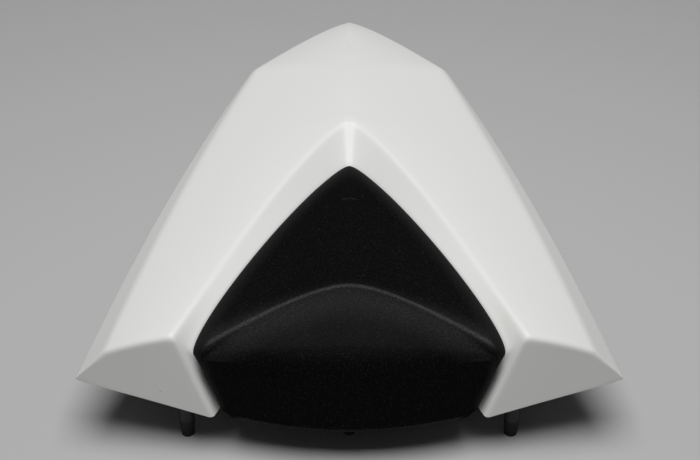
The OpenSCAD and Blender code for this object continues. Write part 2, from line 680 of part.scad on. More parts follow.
// Steel hooks: a flange under the base, a leg down and a tongue towards the tail
module hook() {
    outer_r = bend_r + steel_t;
    tongue_top = base_under - steel_t - hook_gap;
    upper = [steel_t - outer_r, base_under - outer_r];
    lower = [outer_r, tongue_top + bend_r];
    outline = concat(
        [[-hook_flange, base_under]],
        arc(upper, outer_r, 90, 0),
        arc(lower, bend_r, 180, 270),
        [[tongue, tongue_top], [tongue, tongue_top - steel_t]],
        arc(lower, outer_r, 270, 180),
        arc(upper, bend_r, 0, 90),
        [[-hook_flange, base_under - steel_t]]
    );
    color("silver") placed() difference() {
        translate([hook_x - hook_w / 2, hook_y, 0]) rotate([90, 0, 90])
            linear_extrude(hook_w) polygon(outline);
        translate([hook_x, hook_bolt_y, base_under - steel_t - 1])
            cylinder(r = bolt_r + hole_fit, h = steel_t + 2);
    }
}
module hook_right() { hook(); }
module hook_left() { mirror([1, 0, 0]) hook(); }

hook_grip = steel_t + plate_t + nut_h + bolt_proud;
module hook_bolts() {
    color("#b8bcc0") placed() both_sides()
        translate([hook_x, hook_bolt_y, base_under - steel_t]) bolt(bolt_r, bolt_af, hook_grip);
}

module hook_nuts() {
    color("#b8bcc0") placed() both_sides()
        translate([hook_x, hook_bolt_y, base_h]) nut(bolt_r, bolt_af, nut_h);
}

module foot(p) {
    color("#101010") placed() translate([p[0], p[1], 0]) {
        rotate_extrude() polygon([
            [0, 0], [foot_r, 0], [post_r, foot_h - 2], [post_r, foot_h],
            [stem_r, foot_h], [stem_r, foot_h + stem_l], [0, foot_h + stem_l]
        ]);
    }
}
module foot_front_right() { foot([front_foot_x, front_foot_y]); }
module foot_front_left() { foot([-front_foot_x, front_foot_y]); }
module foot_rear_right() { foot([rear_foot_x, rear_foot_y]); }
module foot_rear_left() { foot([-rear_foot_x, rear_foot_y]); }

module screw(l) {
    rotate_extrude() polygon([
        [0, -head_h], [head_r * 0.6, -head_h], [head_r, -head_h * 0.45],
        [head_r, 0], [screw_r, 0], [screw_r, l], [0, l]
    ]);
}

module shell_screws() {
    color("#303234") placed() both_sides() for (b = boss_places)
        translate([boss_xy(b)[0], boss_xy(b)[1], base_under - washer_t])
            screw(washer_t + plate_t + screw_bite);
}

module shell_washers() {
    color("#c8ccd0") placed() both_sides() for (b = boss_places)
        translate([boss_xy(b)[0], boss_xy(b)[1], base_under - washer_t])
            ring(head_r + 1, screw_r + hole_fit, washer_t);
}

module pad_screws() {
    color("#303234") placed() both_sides() for (p = pad_screw_places)
        translate([p[0], p[1], base_under]) screw(pad_floor_h - base_under - bolt_proud);
}

cowl_shell();
pad();
pad_carrier();
base_plate();
striker_plate();
striker_loop();
striker_bolts();
striker_washers();
striker_nuts();
hook_left();
hook_right();
hook_bolts();
hook_nuts();
foot_front_left();
foot_front_right();
foot_rear_left();
foot_rear_right();
shell_screws();
shell_washers();
pad_screws();
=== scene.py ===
"""Seat cowl of a motorbike: a creased white shell with two front wings round a black bump pad.

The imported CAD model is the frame. The shell and the pad are drawn again from the same guide
lines with finer rows, softer creases and grained skins, and the other pieces get their finishes.
Guide lines are in millimetres, with Y = 0 at the front corners and Y growing towards the tail.
"""

import logging
import math
from dataclasses import dataclass, field
from enum import Enum
from typing import Sequence

import bmesh
import bpy
from bpy.types import Material, Mesh, Node, NodeSocket, NodeTree, Object
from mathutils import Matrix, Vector
from mathutils.bvhtree import BVHTree
from mathutils.kdtree import KDTree


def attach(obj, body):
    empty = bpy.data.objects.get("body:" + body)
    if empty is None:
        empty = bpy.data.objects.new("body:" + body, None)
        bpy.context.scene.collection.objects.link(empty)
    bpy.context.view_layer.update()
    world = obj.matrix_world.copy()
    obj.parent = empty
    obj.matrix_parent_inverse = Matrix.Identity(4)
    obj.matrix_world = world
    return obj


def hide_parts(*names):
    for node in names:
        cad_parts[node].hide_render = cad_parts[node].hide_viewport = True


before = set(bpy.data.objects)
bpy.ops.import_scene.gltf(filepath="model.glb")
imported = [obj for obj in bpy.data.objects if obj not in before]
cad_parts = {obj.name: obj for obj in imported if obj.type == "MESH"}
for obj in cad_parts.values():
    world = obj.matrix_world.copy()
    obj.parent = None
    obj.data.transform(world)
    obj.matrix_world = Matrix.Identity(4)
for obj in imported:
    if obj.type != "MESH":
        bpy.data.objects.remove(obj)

logging.basicConfig(level=logging.INFO, format="%(message)s")
log = logging.getLogger("seat_cowl")

Rows = list[list[Vector]]
Pair = tuple[float, float]
Triple = tuple[float, float, float]
Colour = Triple

MM = 0.001

# Share of the pad's half width within which its rows and its lines are rounded at the middle plane
ROUND_MIDDLE = 0.14

# Share of a side that the rounding of its corner may take up
MOST_ROUNDED = 0.9

# Shares of the lip's depth at which it has points
LIP_PLACES = (0.06, 0.5, 1.0)

# Name of the attribute that says how near the pad's edge a point lies; it drives the painted sheen along the
# pad's margin
MARGIN_SHEEN = "margin"


class Slot(Enum):
    """Material slots of the record."""

    SHELL = "shell"
    PAD = "pad"
    BLACK_PLASTIC = "black_plastic"
    ZINC_STEEL = "zinc_steel"
    RUBBER = "rubber"
    BLACK_STEEL = "black_steel"


# Curves


def mix(start: Vector, end: Vector, share: float) -> Vector:
    """The point a share of the way from start to end."""
    return start * (1.0 - share) + end * share


def number_mix(start: float, end: float, share: float) -> float:
    """The number a share of the way from start to end."""
    return start * (1.0 - share) + end * share


def ease(share: float) -> float:
    """A share that starts and ends level, for a soft change between 0 and 1."""
    share = min(1.0, max(0.0, share))
    return share * share * (3.0 - 2.0 * share)


def bezier(points: Sequence[Vector], share: float) -> Vector:
    """A point on the curve that the control points guide.

    Args:
        points: Control points, first and last on the curve.
        share: Share of the way along.

    Returns:
        The point at that share.
    """
    row = list(points)
    while len(row) > 1:
        row = [mix(before, after, share) for before, after in zip(row, row[1:])]
    return row[0]


def rounded(before: Vector, corner: Vector, after: Vector, reach: float, count: int) -> list[Vector]:
    """The rounding of a corner.

    Args:
        before: A point on one side.
        corner: The corner.
        after: A point on the other side.
        reach: How far the rounding reaches along each side.
        count: How many steps it takes.

    Returns:
        Its points, from the side before it to the side after.
    """
    start = corner + (before - corner).normalized() * min(reach, MOST_ROUNDED * (before - corner).length)
    end = corner + (after - corner).normalized() * min(reach, MOST_ROUNDED * (after - corner).length)
    return [bezier([start, corner, end], i / count) for i in range(count + 1)]


def steps(low: float, high: float, count: int) -> list[float]:
    """Evenly spaced numbers from low to high, both ends included."""
    return [number_mix(low, high, i / count) for i in range(count + 1)]


def shares_along(points: Sequence[Vector]) -> list[float]:
    """Share of the way along a row of points, at each of them.

    Args:
        points: The points.

    Returns:
        The shares, from 0 to 1.
    """
    reach = [0.0]
    for before, after in zip(points, points[1:]):
        reach.append(reach[-1] + (after - before).length)
    return [so_far / reach[-1] for so_far in reach]


@dataclass(frozen=True)
class CowlLines:
    """The guide lines that the shell and the pad share, on the right hand side, in millimetres.

    Lines across the deck, called rulings, are numbered from 0 at the tail. The tail's edge ends at
    ruling tail_end, the crest starts at apex_at and the front of the wing is at front_at.
    """

    corner: Pair = (156.0, 45.0)
    tail: Pair = (331.5, 99.0)
    hip: Triple = (67.6, 270.0, 94.0)
    shoulder_end: Triple = (139.5, 1.5, 63.5)
    apex: Pair = (180.0, 108.4)
    crest_end: Pair = (100.0, 76.0)
    pad_tip: Pair = (152.6, 90.0)
    pad_corner: Pair = (89.2, 64.9)
    toe: Triple = (79.0, -12.0, 25.0)
    toe_band: float = 4.8
    toe_inset: Pair = (2.0, 5.5)
    band_out: float = 4.6
    band_height: float = 6.0
    tail_overhang: float = 2.5
    deck_crown: float = 5.0
    rim_tail_height: float = 47.0
    rim_inset: float = 1.5
    rim_drop: float = 0.9
    tail_end: float = 7.0
    apex_at: float = 15.0
    front_at: float = 31.0
    apex_share: float = 0.355
    lip_slope: float = math.radians(50.0)
    lip_depth: float = 8.0
    shoulder_round: float = 4.0
    tail_round: float = 2.4
    crest_round: float = 3.2
    band_round: float = 1.6
    keel_guides: tuple[Pair, ...] = ((-35.0, 3.6), (-10.0, -1.2))
    tail_guide: Triple = (0.28, -5.2, -1.0)
    shoulder_guides: tuple[tuple[float, ...], ...] = ((0.3, 4.4, 0.7, -0.4), (0.63, 7.2, -0.8, -0.8))
    band_guides: tuple[tuple[float, ...], ...] = ((0.34, 9.4, 2.0, -0.4), (0.67, 9.2, 1.0, -1.2))
    band_end: float = 0.8
    crest_guide: Triple = (0.367, 0.82, 24.0)
    pad_guides: tuple[tuple[float, ...], ...] = ((0.256, 0.932, -0.8), (0.991, 0.071, 15.3))
    pad_spacing: Pair = (1.35, 0.95)
    toe_lip: Triple = (-0.1, 1.0, 0.0)
    apex_blunt: float = 9.0
    tip_blunt: float = 8.0
    tip_turn: float = 0.08
    tangent_step: float = 0.02

    def hip_point(self) -> Vector:
        """The corner where the tail's edge meets the shoulder."""
        return Vector(self.hip)

    def corner_point(self) -> Vector:
        """The front corner of a wing, at its lower edge."""
        return Vector((self.corner[0], 0.0, self.corner[1]))

    def crest_front(self) -> Vector:
        """The front end of the crest."""
        return Vector((self.crest_end[0], 0.0, self.crest_end[1]))

    def toe_point(self) -> Vector:
        """The bottom of a toe, on its crease."""
        return Vector(self.toe)

    def toe_inner(self) -> Vector:
        """The bottom of a toe, beside the pad."""
        return self.toe_point() + Vector((-self.toe_band, *self.toe_inset))

    def pad_side(self) -> Vector:
        """The side corner of the pad."""
        return Vector((self.pad_corner[0], 0.0, self.pad_corner[1]))

    @staticmethod
    def blunt(point: Vector, slope: float, reach: float) -> Vector:
        """A point of a line that comes to a corner on the middle plane, moved so that the corner is round.

        Args:
            point: The point.
            slope: How much the line falls forward for each step sideways, at the corner.
            reach: How far to each side the rounding goes.

        Returns:
            The moved point.
        """
        near = max(0.0, reach - point.x)
        return point - Vector((0, slope * near**3 / (3 * reach**2), 0))

    def keel(self, share: float) -> Vector:
        """Middle line of the deck, from the tail to the apex.

        Args:
            share: Share of the way along.

        Returns:
            The point.
        """
        y, z = self.tail
        apex = Vector((0.0, *self.apex))
        (back, high), (on, low) = self.keel_guides
        first, second = Vector((0, y + back, z + high)), Vector((0, self.hip[1] + on, apex.z + low))
        return bezier([first, second, apex], share)

    def tail_line(self, share: float) -> Vector:
        """Edge of the deck round the tail.

        Args:
            share: Share of the way along.

        Returns:
            The point.
        """
        (y, z), (out, on, low) = self.tail, self.tail_guide
        guide = Vector((out * self.hip[0], y + on, z + low))
        return bezier([Vector((0, y, z)), guide, self.hip_point()], share)

    def shoulder(self, share: float) -> Vector:
        """Edge of the deck from the hip to the front.

        Args:
            share: Share of the way along.

        Returns:
            The point.
        """
        hip, front = self.hip_point(), Vector(self.shoulder_end)
        guides = [mix(hip, front, at) + Vector(off) for at, *off in self.shoulder_guides]
        return bezier([hip, *guides, front], share)

    def band_line(self, share: float) -> Vector:
        """Lower edge of the side band from the hip to the front.

        Args:
            share: Share of the way along.

        Returns:
            The point.
        """
        hip, front = self.hip_point(), self.corner_point()
        start = hip + Vector((self.band_out, 0, -self.band_height))
        guides = [mix(hip, front, at) + Vector(off) for at, *off in self.band_guides]
        return bezier([start, *guides, front + Vector((self.band_end, 0, 0))], share)

    def crest(self, share: float) -> Vector:
        """Crease between the deck and the bevel, from the apex to the front.

        Args:
            share: Share of the way along.

        Returns:
            The point.
        """
        y, z = self.apex
        end = self.crest_front()
        across, along, high = self.crest_guide
        guide = Vector((across * end.x, along * y, end.z + high))
        slope = (y - guide.y) / guide.x
        return self.blunt(bezier([Vector((0, y, z)), guide, end], share), slope, self.apex_blunt)

    def pad_line(self, share: float) -> Vector:
        """Edge of the opening round the pad, from its tip to its side corner.

        Args:
            share: Share of the way along.

        Returns:
            The point.
        """
        y, z = self.pad_tip
        x, high = self.pad_corner
        (in_x, in_y, in_z), (out_x, out_y, out_z) = self.pad_guides
        guide, side = Vector((in_x * x, in_y * y, z + in_z)), Vector((out_x * x, out_y * y, high + out_z))
        line = bezier([Vector((0, y, z)), guide, side, Vector((x, 0, high))], share)
        return self.blunt(line, (y - guide.y) / guide.x, self.tip_blunt)

    def wing_share(self, ruling: float) -> float:
        """Share of the way from the apex to the front, at a ruling."""
        return (ruling - self.apex_at) / (self.front_at - self.apex_at)

    def shoulder_share(self, ruling: float) -> float:
        """Share of the way along the shoulder, at a ruling.

        Args:
            ruling: The ruling.

        Returns:
            The share.
        """
        if ruling <= self.apex_at:
            return self.apex_share * (ruling - self.tail_end) / (self.apex_at - self.tail_end)
        return number_mix(self.apex_share, 1.0, self.wing_share(ruling))

    def pad_share(self, share: float) -> float:
        """Share of the way along the pad line, where a ruling meets it."""
        return share ** (self.pad_spacing[0] + self.pad_spacing[1] * share) if share > 0 else 0.0

    def inner(self, ruling: float) -> Vector:
        """Inner end of a ruling of the deck."""
        if ruling < self.apex_at:
            return self.keel(ruling / self.apex_at)
        return self.crest(self.wing_share(ruling))

    def outer(self, ruling: float) -> Vector:
        """Outer end of a ruling of the deck."""
        if ruling < self.tail_end:
            return self.tail_line(ruling / self.tail_end)
        return self.shoulder(self.shoulder_share(ruling))

    def band(self, ruling: float) -> Vector:
        """Lower edge of the band below a ruling.

        Args:
            ruling: The ruling.

        Returns:
            The point.
        """
        if ruling < self.tail_end:
            round_tail = ruling / self.tail_end
            back = self.tail_overhang * (1 - round_tail)
            return self.outer(ruling) + Vector((self.band_out * round_tail, back, -self.band_height))
        return self.band_line(self.shoulder_share(ruling))

    def rim(self, ruling: float) -> Vector:
        """Rim of the shell below a ruling.

        Args:
            ruling: The ruling.

        Returns:
            The point.
        """
        band, round_tail = self.band(ruling), min(1.0, ruling / self.tail_end)
        ahead = 0.0 if ruling < self.tail_end else self.shoulder_share(ruling)
        high = number_mix(self.rim_tail_height, self.corner[1] - self.rim_drop, ahead)
        inset = self.rim_inset * (1.0 - ahead**6)
        return Vector((band.x - inset * round_tail, band.y - inset * (1 - round_tail), high))

    def bevel(self, ruling: float) -> Vector:
        """Lower end of the bevel at a ruling."""
        return self.pad_line(self.pad_share(self.wing_share(ruling)))

    def pad_inward(self, share: float) -> Vector:
        """Level direction from the pad line towards the pad, at a share of the line.

        Args:
            share: Share of the way along the line.

        Returns:
            The direction, of length 1.
        """
        ahead = min(1.0, share + self.tangent_step)
        along = self.pad_line(ahead) - self.pad_line(ahead - self.tangent_step)
        side = Vector((along.y, -along.x, 0)).normalized()
        return mix(Vector((0, -1, 0)), side, min(1.0, share / self.tip_turn)).normalized()

    def lip_step(self, share: float) -> Vector:
        """Direction in which the lip runs down below the pad line."""
        return self.pad_inward(share) * math.cos(self.lip_slope) - Vector((0, 0, math.sin(self.lip_slope)))

    def lip_normal(self, share: float) -> Vector:
        """Direction square to the lip, towards the pad."""
        return self.pad_inward(share) * math.sin(self.lip_slope) + Vector((0, 0, math.cos(self.lip_slope)))

    def toe_step(self, drop: float) -> Vector:
        """Direction of the lip beside a toe, from the pad's corner (0) to the bottom (1)."""
        return mix(self.lip_step(1.0), Vector(self.toe_lip), min(1.0, 2 * drop)).normalized()

    def deck(self, ruling: float, out: float) -> Vector:
        """A point of the deck, at a ruling and a share of the way out, with a slight crown."""
        crown = Vector((0, 0, self.deck_crown * out * (1 - out)))
        return mix(self.inner(ruling), self.outer(ruling), out) + crown


# Meshes


class Sheet:
    """Gathers grids of points into one mesh, in the row frame."""

    def __init__(self, shift: float) -> None:
        """Starts an empty sheet whose points move by shift millimetres along Y.

        Args:
            shift: How far the points move along Y, in millimetres.
        """
        self.shift = shift
        self.vertices: list[Vector] = []
        self.faces: list[tuple[int, ...]] = []

    def place(self, point: Vector) -> Vector:
        """A guide point in metres, in the row frame."""
        return Vector((point.x, point.y + self.shift, point.z)) * MM

    def grid(self, rows: Sequence[Sequence[Vector]], turn: bool = False, mirrored: bool = True) -> None:
        """Adds a grid of quads.

        Args:
            rows: Rows of points, all of one length.
            turn: Faces the other way.
            mirrored: Adds the same grid on the left hand side.
        """
        for side in (1, -1) if mirrored else (1,):
            first = len(self.vertices)
            width = len(rows[0])
            for row in rows:
                self.vertices += [self.place(Vector((side * point.x, point.y, point.z))) for point in row]
            for i in range(len(rows) - 1):
                for j in range(width - 1):
                    corner = first + i * width + j
                    quad = (corner, corner + 1, corner + width + 1, corner + width)
                    self.faces.append(quad if (side == 1) != turn else quad[::-1])

    def mesh(self, name: str, weld: float = 2e-5, shortest: float = 1e-6) -> Mesh:
        """The mesh with its seams joined.

        Args:
            name: Name of the mesh.
            weld: Distance within which points join, in metres.
            shortest: Length of an edge below which it goes, in metres.

        Returns:
            The mesh.
        """
        data = bpy.data.meshes.new(name)
        data.from_pydata([tuple(vertex) for vertex in self.vertices], [], self.faces)
        work = bmesh.new()
        work.from_mesh(data)
        bmesh.ops.remove_doubles(work, verts=work.verts, dist=weld)
        bmesh.ops.dissolve_degenerate(work, edges=work.edges, dist=shortest)
        work.to_mesh(data)
        work.free()
        return data


def turn_faces_out(data: Mesh, upward: bool = False) -> None:
    """Turns the faces of a mesh to one side.

    Args:
        data: The mesh, changed in place.
        upward: For an open sheet, turns it so that most of it faces up.
    """
    work = bmesh.new()
    work.from_mesh(data)
    bmesh.ops.recalc_face_normals(work, faces=work.faces)
    if upward and sum(face.normal.z * face.calc_area() for face in work.faces) < 0:
        bmesh.ops.reverse_faces(work, faces=work.faces)
    work.to_mesh(data)
    work.free()


@dataclass(frozen=True)
class WallLimits:
    """What keeps an inner wall from folding, as shares of the wall."""

    ray_start: float = 0.02
    ray_reach: float = 1.5
    least_lean: float = 0.75
    hollow_share: float = 0.4
    on_plane: float = 1e-6


def thicken(data: Mesh, wall: float, limits: WallLimits = WallLimits()) -> None:
    """Gives an open sheet a wall on the side its faces look away from.

    Args:
        data: The sheet, changed in place.
        wall: Thickness in metres.
        limits: How near the inner points may come to the sheet's other side.
    """
    work = bmesh.new()
    work.from_mesh(data)
    work.normal_update()
    outer = list(work.verts)
    border = [edge for edge in work.edges if edge.is_boundary]
    faces = list(work.faces)
    sheet = BVHTree.FromBMesh(work)
    step_off = limits.ray_start * wall
    twin = {}
    for vertex in outer:
        normals = [face.normal for face in vertex.link_faces]
        mean = sum(normals, Vector()).normalized()
        lean = max(limits.least_lean, sum(normal.dot(mean) for normal in normals) / max(1, len(normals)))
        if abs(vertex.co.x) < limits.on_plane:
            mean = Vector((0, mean.y, mean.z)).normalized()
        across = sheet.ray_cast(vertex.co - mean * step_off, -mean, limits.ray_reach * wall / lean)[3]
        reach = wall / lean
        if across is not None:
            reach = min(reach, limits.hollow_share * (across + step_off))
        twin[vertex] = work.verts.new(vertex.co - mean * reach)
    for face in faces:
        work.faces.new([twin[vertex] for vertex in reversed(face.verts)])
    for edge in border:
        loop = edge.link_loops[0]
        first, second = loop.vert, loop.link_loop_next.vert
        work.faces.new([second, first, twin[first], twin[second]])
    work.to_mesh(data)
    work.free()


def show(data: Mesh, name: str, material: Material, sharp: float = 38.0) -> Object:
    """Makes a shown piece that rides on the part.

    Args:
        data: Its mesh, in the row frame.
        name: Its name.
        material: Its material.
        sharp: Angle in degrees above which an edge stays sharp.

    Returns:
        The piece.
    """
    piece = bpy.data.objects.new(name, data)
    bpy.context.scene.collection.objects.link(piece)
    data.polygons.foreach_set("use_smooth", [True] * len(data.polygons))
    data.set_sharp_from_angle(angle=math.radians(sharp))
    data.materials.append(material)
    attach(piece, "root")
    log.info("%s: %d faces", name, len(data.polygons))
    return piece


# Shader groups and finishes


def add_node(tree: NodeTree, kind: str, inputs: dict[int | str, object], **settings: object) -> Node:
    """Adds a shader node.

    Args:
        tree: The tree that it joins.
        kind: Its type.
        inputs: For each input, its value or the output that feeds it.
        settings: Its other settings.

    Returns:
        The node.
    """
    node = tree.nodes.new(kind)
    for name, value in settings.items():
        setattr(node, name, value)
    for label, value in inputs.items():
        if isinstance(value, NodeSocket):
            tree.links.new(value, node.inputs[label])
        else:
            node.inputs[label].default_value = value
    return node


def calculate(
    tree: NodeTree, operation: str, *inputs: NodeSocket | float, clamp: bool = False
) -> NodeSocket:
    """Adds a math node.

    Args:
        tree: The tree that it joins.
        operation: What it works out.
        inputs: Its inputs in order, each a number or the output that feeds it.
        clamp: Keeps the result between 0 and 1.

    Returns:
        Its output.
    """
    values = dict(enumerate(inputs))
    return add_node(tree, "ShaderNodeMath", values, operation=operation, use_clamp=clamp).outputs[0]


def fade_out(
    tree: NodeTree, value: NodeSocket, start: float = 0.0,
    end: NodeSocket | float = 1.0,
) -> NodeSocket:
    """Adds a soft fall from 1 to 0.

    Args:
        tree: The tree that it joins.
        value: The output that drives it.
        start: The value at which the fall starts.
        end: The value at which it ends, as a number or as an output.

    Returns:
        Its output.
    """
    inputs = {"Value": value, "From Min": start, "From Max": end, "To Min": 1.0, "To Max": 0.0}
    return add_node(tree, "ShaderNodeMapRange", inputs, interpolation_type="SMOOTHSTEP").outputs["Result"]


def blend(
    tree: NodeTree, factor: NodeSocket, under: NodeSocket | Colour, over: Colour
) -> NodeSocket:
    """Adds a mix of two colours.

    Args:
        tree: The tree that it joins.
        factor: The output that says how much of the upper colour shows.
        under: The lower colour, or the output that gives it.
        over: The upper colour.

    Returns:
        Its output.
    """
    below = under if isinstance(under, NodeSocket) else (*under, 1.0)
    inputs = {"Factor": factor, "A": below, "B": (*over, 1.0)}
    return add_node(tree, "ShaderNodeMix", inputs, data_type="RGBA").outputs["Result"]


def object_place(tree: NodeTree) -> NodeSocket:
    """The output that gives each point's place on the object."""
    return tree.nodes.new("ShaderNodeTexCoord").outputs["Object"]


def new_group(name: str, inputs: dict[str, tuple[str, object]], outputs: Sequence[str]) -> NodeTree:
    """A shader group with named sockets.

    Args:
        name: Name of the group.
        inputs: Socket type and first value by input name.
        outputs: Names of its outputs, which are all plain numbers.

    Returns:
        The group, with its input and output nodes named in and out.
    """
    tree = bpy.data.node_groups.new(name, "ShaderNodeTree")
    for label, (kind, value) in inputs.items():
        tree.interface.new_socket(name=label, in_out="INPUT", socket_type=kind).default_value = value
    for label in outputs:
        tree.interface.new_socket(name=label, in_out="OUTPUT", socket_type="NodeSocketFloat")
    tree.nodes.new("NodeGroupInput").name = "in"
    tree.nodes.new("NodeGroupOutput").name = "out"
    return tree


def put_out(tree: NodeTree, outputs: dict[str, NodeSocket]) -> NodeTree:
    """Links the outputs of a group.

    Args:
        tree: The group.
        outputs: What feeds each output, by its name.

    Returns:
        The group.
    """
    for label, socket in outputs.items():
        tree.links.new(socket, tree.nodes["out"].inputs[label])
    return tree


def skin_grain() -> NodeTree:
    """Moulded grain: small rounded cells with finer noise between them.

    Returns:
        A group with Scale and Fine inputs, and Height, Fleck and Speck outputs.
    """
    tree = new_group(
        "skin_grain",
        {"Scale": ("NodeSocketFloat", 900.0), "Fine": ("NodeSocketFloat", 0.4)},
        ("Height", "Fleck", "Speck"),
    )
    asked, place = tree.nodes["in"].outputs, object_place(tree)
    cells = add_node(
        tree,
        "ShaderNodeTexVoronoi",
        {"Vector": place, "Scale": asked["Scale"], "Smoothness": 0.6},
        feature="SMOOTH_F1",
    )
    fine_scale = calculate(tree, "MULTIPLY", asked["Scale"], 1.9)
    noise = add_node(tree, "ShaderNodeTexNoise", {"Vector": place, "Scale": fine_scale, "Detail": 3.0})
    speck = noise.outputs["Fac"]
    height = calculate(tree, "MULTIPLY_ADD", speck, asked["Fine"], cells.outputs["Distance"])
    tops = add_node(tree, "ShaderNodeMapRange", {"Value": speck, "From Min": 0.56, "From Max": 0.74})
    return put_out(tree, {"Height": height, "Fleck": tops.outputs["Result"], "Speck": speck})


def soft_spot() -> NodeTree:
    """A soft round mark at a place on the object.

    Returns:
        A group with Centre, Stretch and Radius inputs, and a Mask output.
    """
    tree = new_group(
        "soft_spot",
        {
            "Centre": ("NodeSocketVector", (0.0, 0.0, 0.0)),
            "Stretch": ("NodeSocketVector", (1.0, 1.0, 1.0)),
            "Radius": ("NodeSocketFloat", 0.01),
        },
        ("Mask",),
    )
    asked, kind = tree.nodes["in"].outputs, "ShaderNodeVectorMath"
    away = add_node(tree, kind, {0: object_place(tree), 1: asked["Centre"]}, operation="SUBTRACT")
    squeezed = add_node(tree, kind, {0: away.outputs["Vector"], 1: asked["Stretch"]}, operation="DIVIDE")
    length = add_node(tree, kind, {0: squeezed.outputs["Vector"]}, operation="LENGTH")
    share = calculate(tree, "DIVIDE", length.outputs["Value"], asked["Radius"])
    return put_out(tree, {"Mask": fade_out(tree, share)})


def cloudy_tone() -> NodeTree:
    """Slow change of tone over a surface, as handling and moulding leave it.

    Returns:
        A group with Scale, Low and High inputs, and a Tone output.
    """
    tree = new_group(
        "cloudy_tone",
        {
            "Scale": ("NodeSocketFloat", 12.0),
            "Low": ("NodeSocketFloat", 0.3),
            "High": ("NodeSocketFloat", 0.4),
        },
        ("Tone",),
    )
    asked = tree.nodes["in"].outputs
    cloud = add_node(
        tree, "ShaderNodeTexNoise", {"Vector": object_place(tree), "Scale": asked["Scale"], "Detail": 4.0}
    )
    inputs = {
        "Value": cloud.outputs["Fac"], "From Min": 0.3, "From Max": 0.7,
        "To Min": asked["Low"], "To Max": asked["High"],
    }
    return put_out(tree, {"Tone": add_node(tree, "ShaderNodeMapRange", inputs).outputs["Result"]})


def curved_line() -> NodeTree:
    """A thin line across the object that bows to the front or the back at both sides.

    Returns:
        A group with a Mask output. Its inputs are the line's Middle and End along Y, its Half Length along
        X, its Bend, its Width and the Lowest height at which it shows.
    """
    tree = new_group(
        "curved_line",
        {
            "Middle": ("NodeSocketFloat", 0.0),
            "End": ("NodeSocketFloat", -0.03),
            "Half Length": ("NodeSocketFloat", 0.08),
            "Bend": ("NodeSocketFloat", 1.4),
            "Width": ("NodeSocketFloat", 0.001),
            "Lowest": ("NodeSocketFloat", 0.0),
        },
        ("Mask",),
    )
    asked = tree.nodes["in"].outputs
    place = add_node(tree, "ShaderNodeSeparateXYZ", {0: object_place(tree)}).outputs
    share = calculate(tree, "DIVIDE", calculate(tree, "ABSOLUTE", place["X"]), asked["Half Length"])
    square = calculate(tree, "MULTIPLY_ADD", share, share, ROUND_MIDDLE**2)
    bent = calculate(tree, "POWER", square, calculate(tree, "MULTIPLY", asked["Bend"], 0.5))
    bow = calculate(tree, "SUBTRACT", bent, calculate(tree, "POWER", ROUND_MIDDLE, asked["Bend"]))
    reach = calculate(tree, "SUBTRACT", asked["End"], asked["Middle"])
    line = calculate(tree, "MULTIPLY_ADD", bow, reach, asked["Middle"])
    away = calculate(tree, "ABSOLUTE", calculate(tree, "SUBTRACT", place["Y"], line))
    across, along = fade_out(tree, away, end=asked["Width"]), fade_out(tree, share, start=0.92)
    above = calculate(tree, "GREATER_THAN", place["Z"], asked["Lowest"])
    return put_out(
        tree, {"Mask": calculate(tree, "MULTIPLY", calculate(tree, "MULTIPLY", across, along), above)}
    )


@dataclass(frozen=True)
class Groups:
    """The shader groups that the finishes share."""

    grain: NodeTree
    spot: NodeTree
    tone: NodeTree
    line: NodeTree


def place_group(tree: NodeTree, group: NodeTree, values: dict[str, object]) -> Node:
    """Puts a shader group into a material with its own values."""
    return add_node(tree, "ShaderNodeGroup", values, node_tree=group)


@dataclass(frozen=True)
class Finish:
    """A moulded, plated or rubber finish.

    The grain is raised by height metres on cells of 1 / grain metres.
    """

    slot: Slot
    colour: Colour
    rough: Pair
    metallic: float = 0.0
    grain: float = 1500.0
    height: float = 0.00002
    strength: float = 0.3
    specular: float = 0.5
    tone_scale: float = 14.0

    def shader(self, groups: Groups) -> tuple[Material, Node]:
        """Makes the material.

        Args:
            groups: The shared shader groups.

        Returns:
            The material and its Principled node.
        """
        made = bpy.data.materials.new(self.slot.value)
        made.use_nodes = True
        tree = made.node_tree
        skin = tree.nodes["Principled BSDF"]
        skin.inputs["Base Color"].default_value = (*self.colour, 1.0)
        skin.inputs["Metallic"].default_value = self.metallic
        skin.inputs["Specular IOR Level"].default_value = self.specular
        tone = place_group(
            tree, groups.tone, {"Scale": self.tone_scale, "Low": self.rough[0], "High": self.rough[1]}
        )
        tree.links.new(tone.outputs["Tone"], skin.inputs["Roughness"])
        grain = place_group(tree, groups.grain, {"Scale": self.grain})
        relief = {"Strength": self.strength, "Distance": self.height, "Height": grain.outputs["Height"]}
        bump = add_node(tree, "ShaderNodeBump", relief)
        tree.links.new(bump.outputs["Normal"], skin.inputs["Normal"])
        return made, skin


@dataclass(frozen=True)
class HighlightAndMarkLine:
    """A lighter line across the pad, in metres: painted highlights along the ridge, a faint arc on the panel
    and a lighter line along the bottom edge.
    """

    middle: float
    end: float
    half_length: float
    bend: float
    width: float
    strength: float
    lowest: float = 0.0


@dataclass(frozen=True)
class PadTones:
    """What lightens the pad: its flecks, a painted sheen along its margin, and its lighter lines, which are
    painted highlights along the ridge and faint marks.
    """

    fleck: Colour = (0.017, 0.017, 0.018)
    # Painted sheen along the pad's rounded margin, where the edge catches the light
    margin: Colour = (0.019, 0.019, 0.0195)
    highlight_and_mark: Colour = (0.065, 0.065, 0.066)
    # Colour of the lighter lines: painted highlight along the ridge, and faint marks
    fleck_scale: float = 0.5
    speck_span: Pair = (0.35, 0.75)
    speck_strength: Pair = (0.35, 1.4)


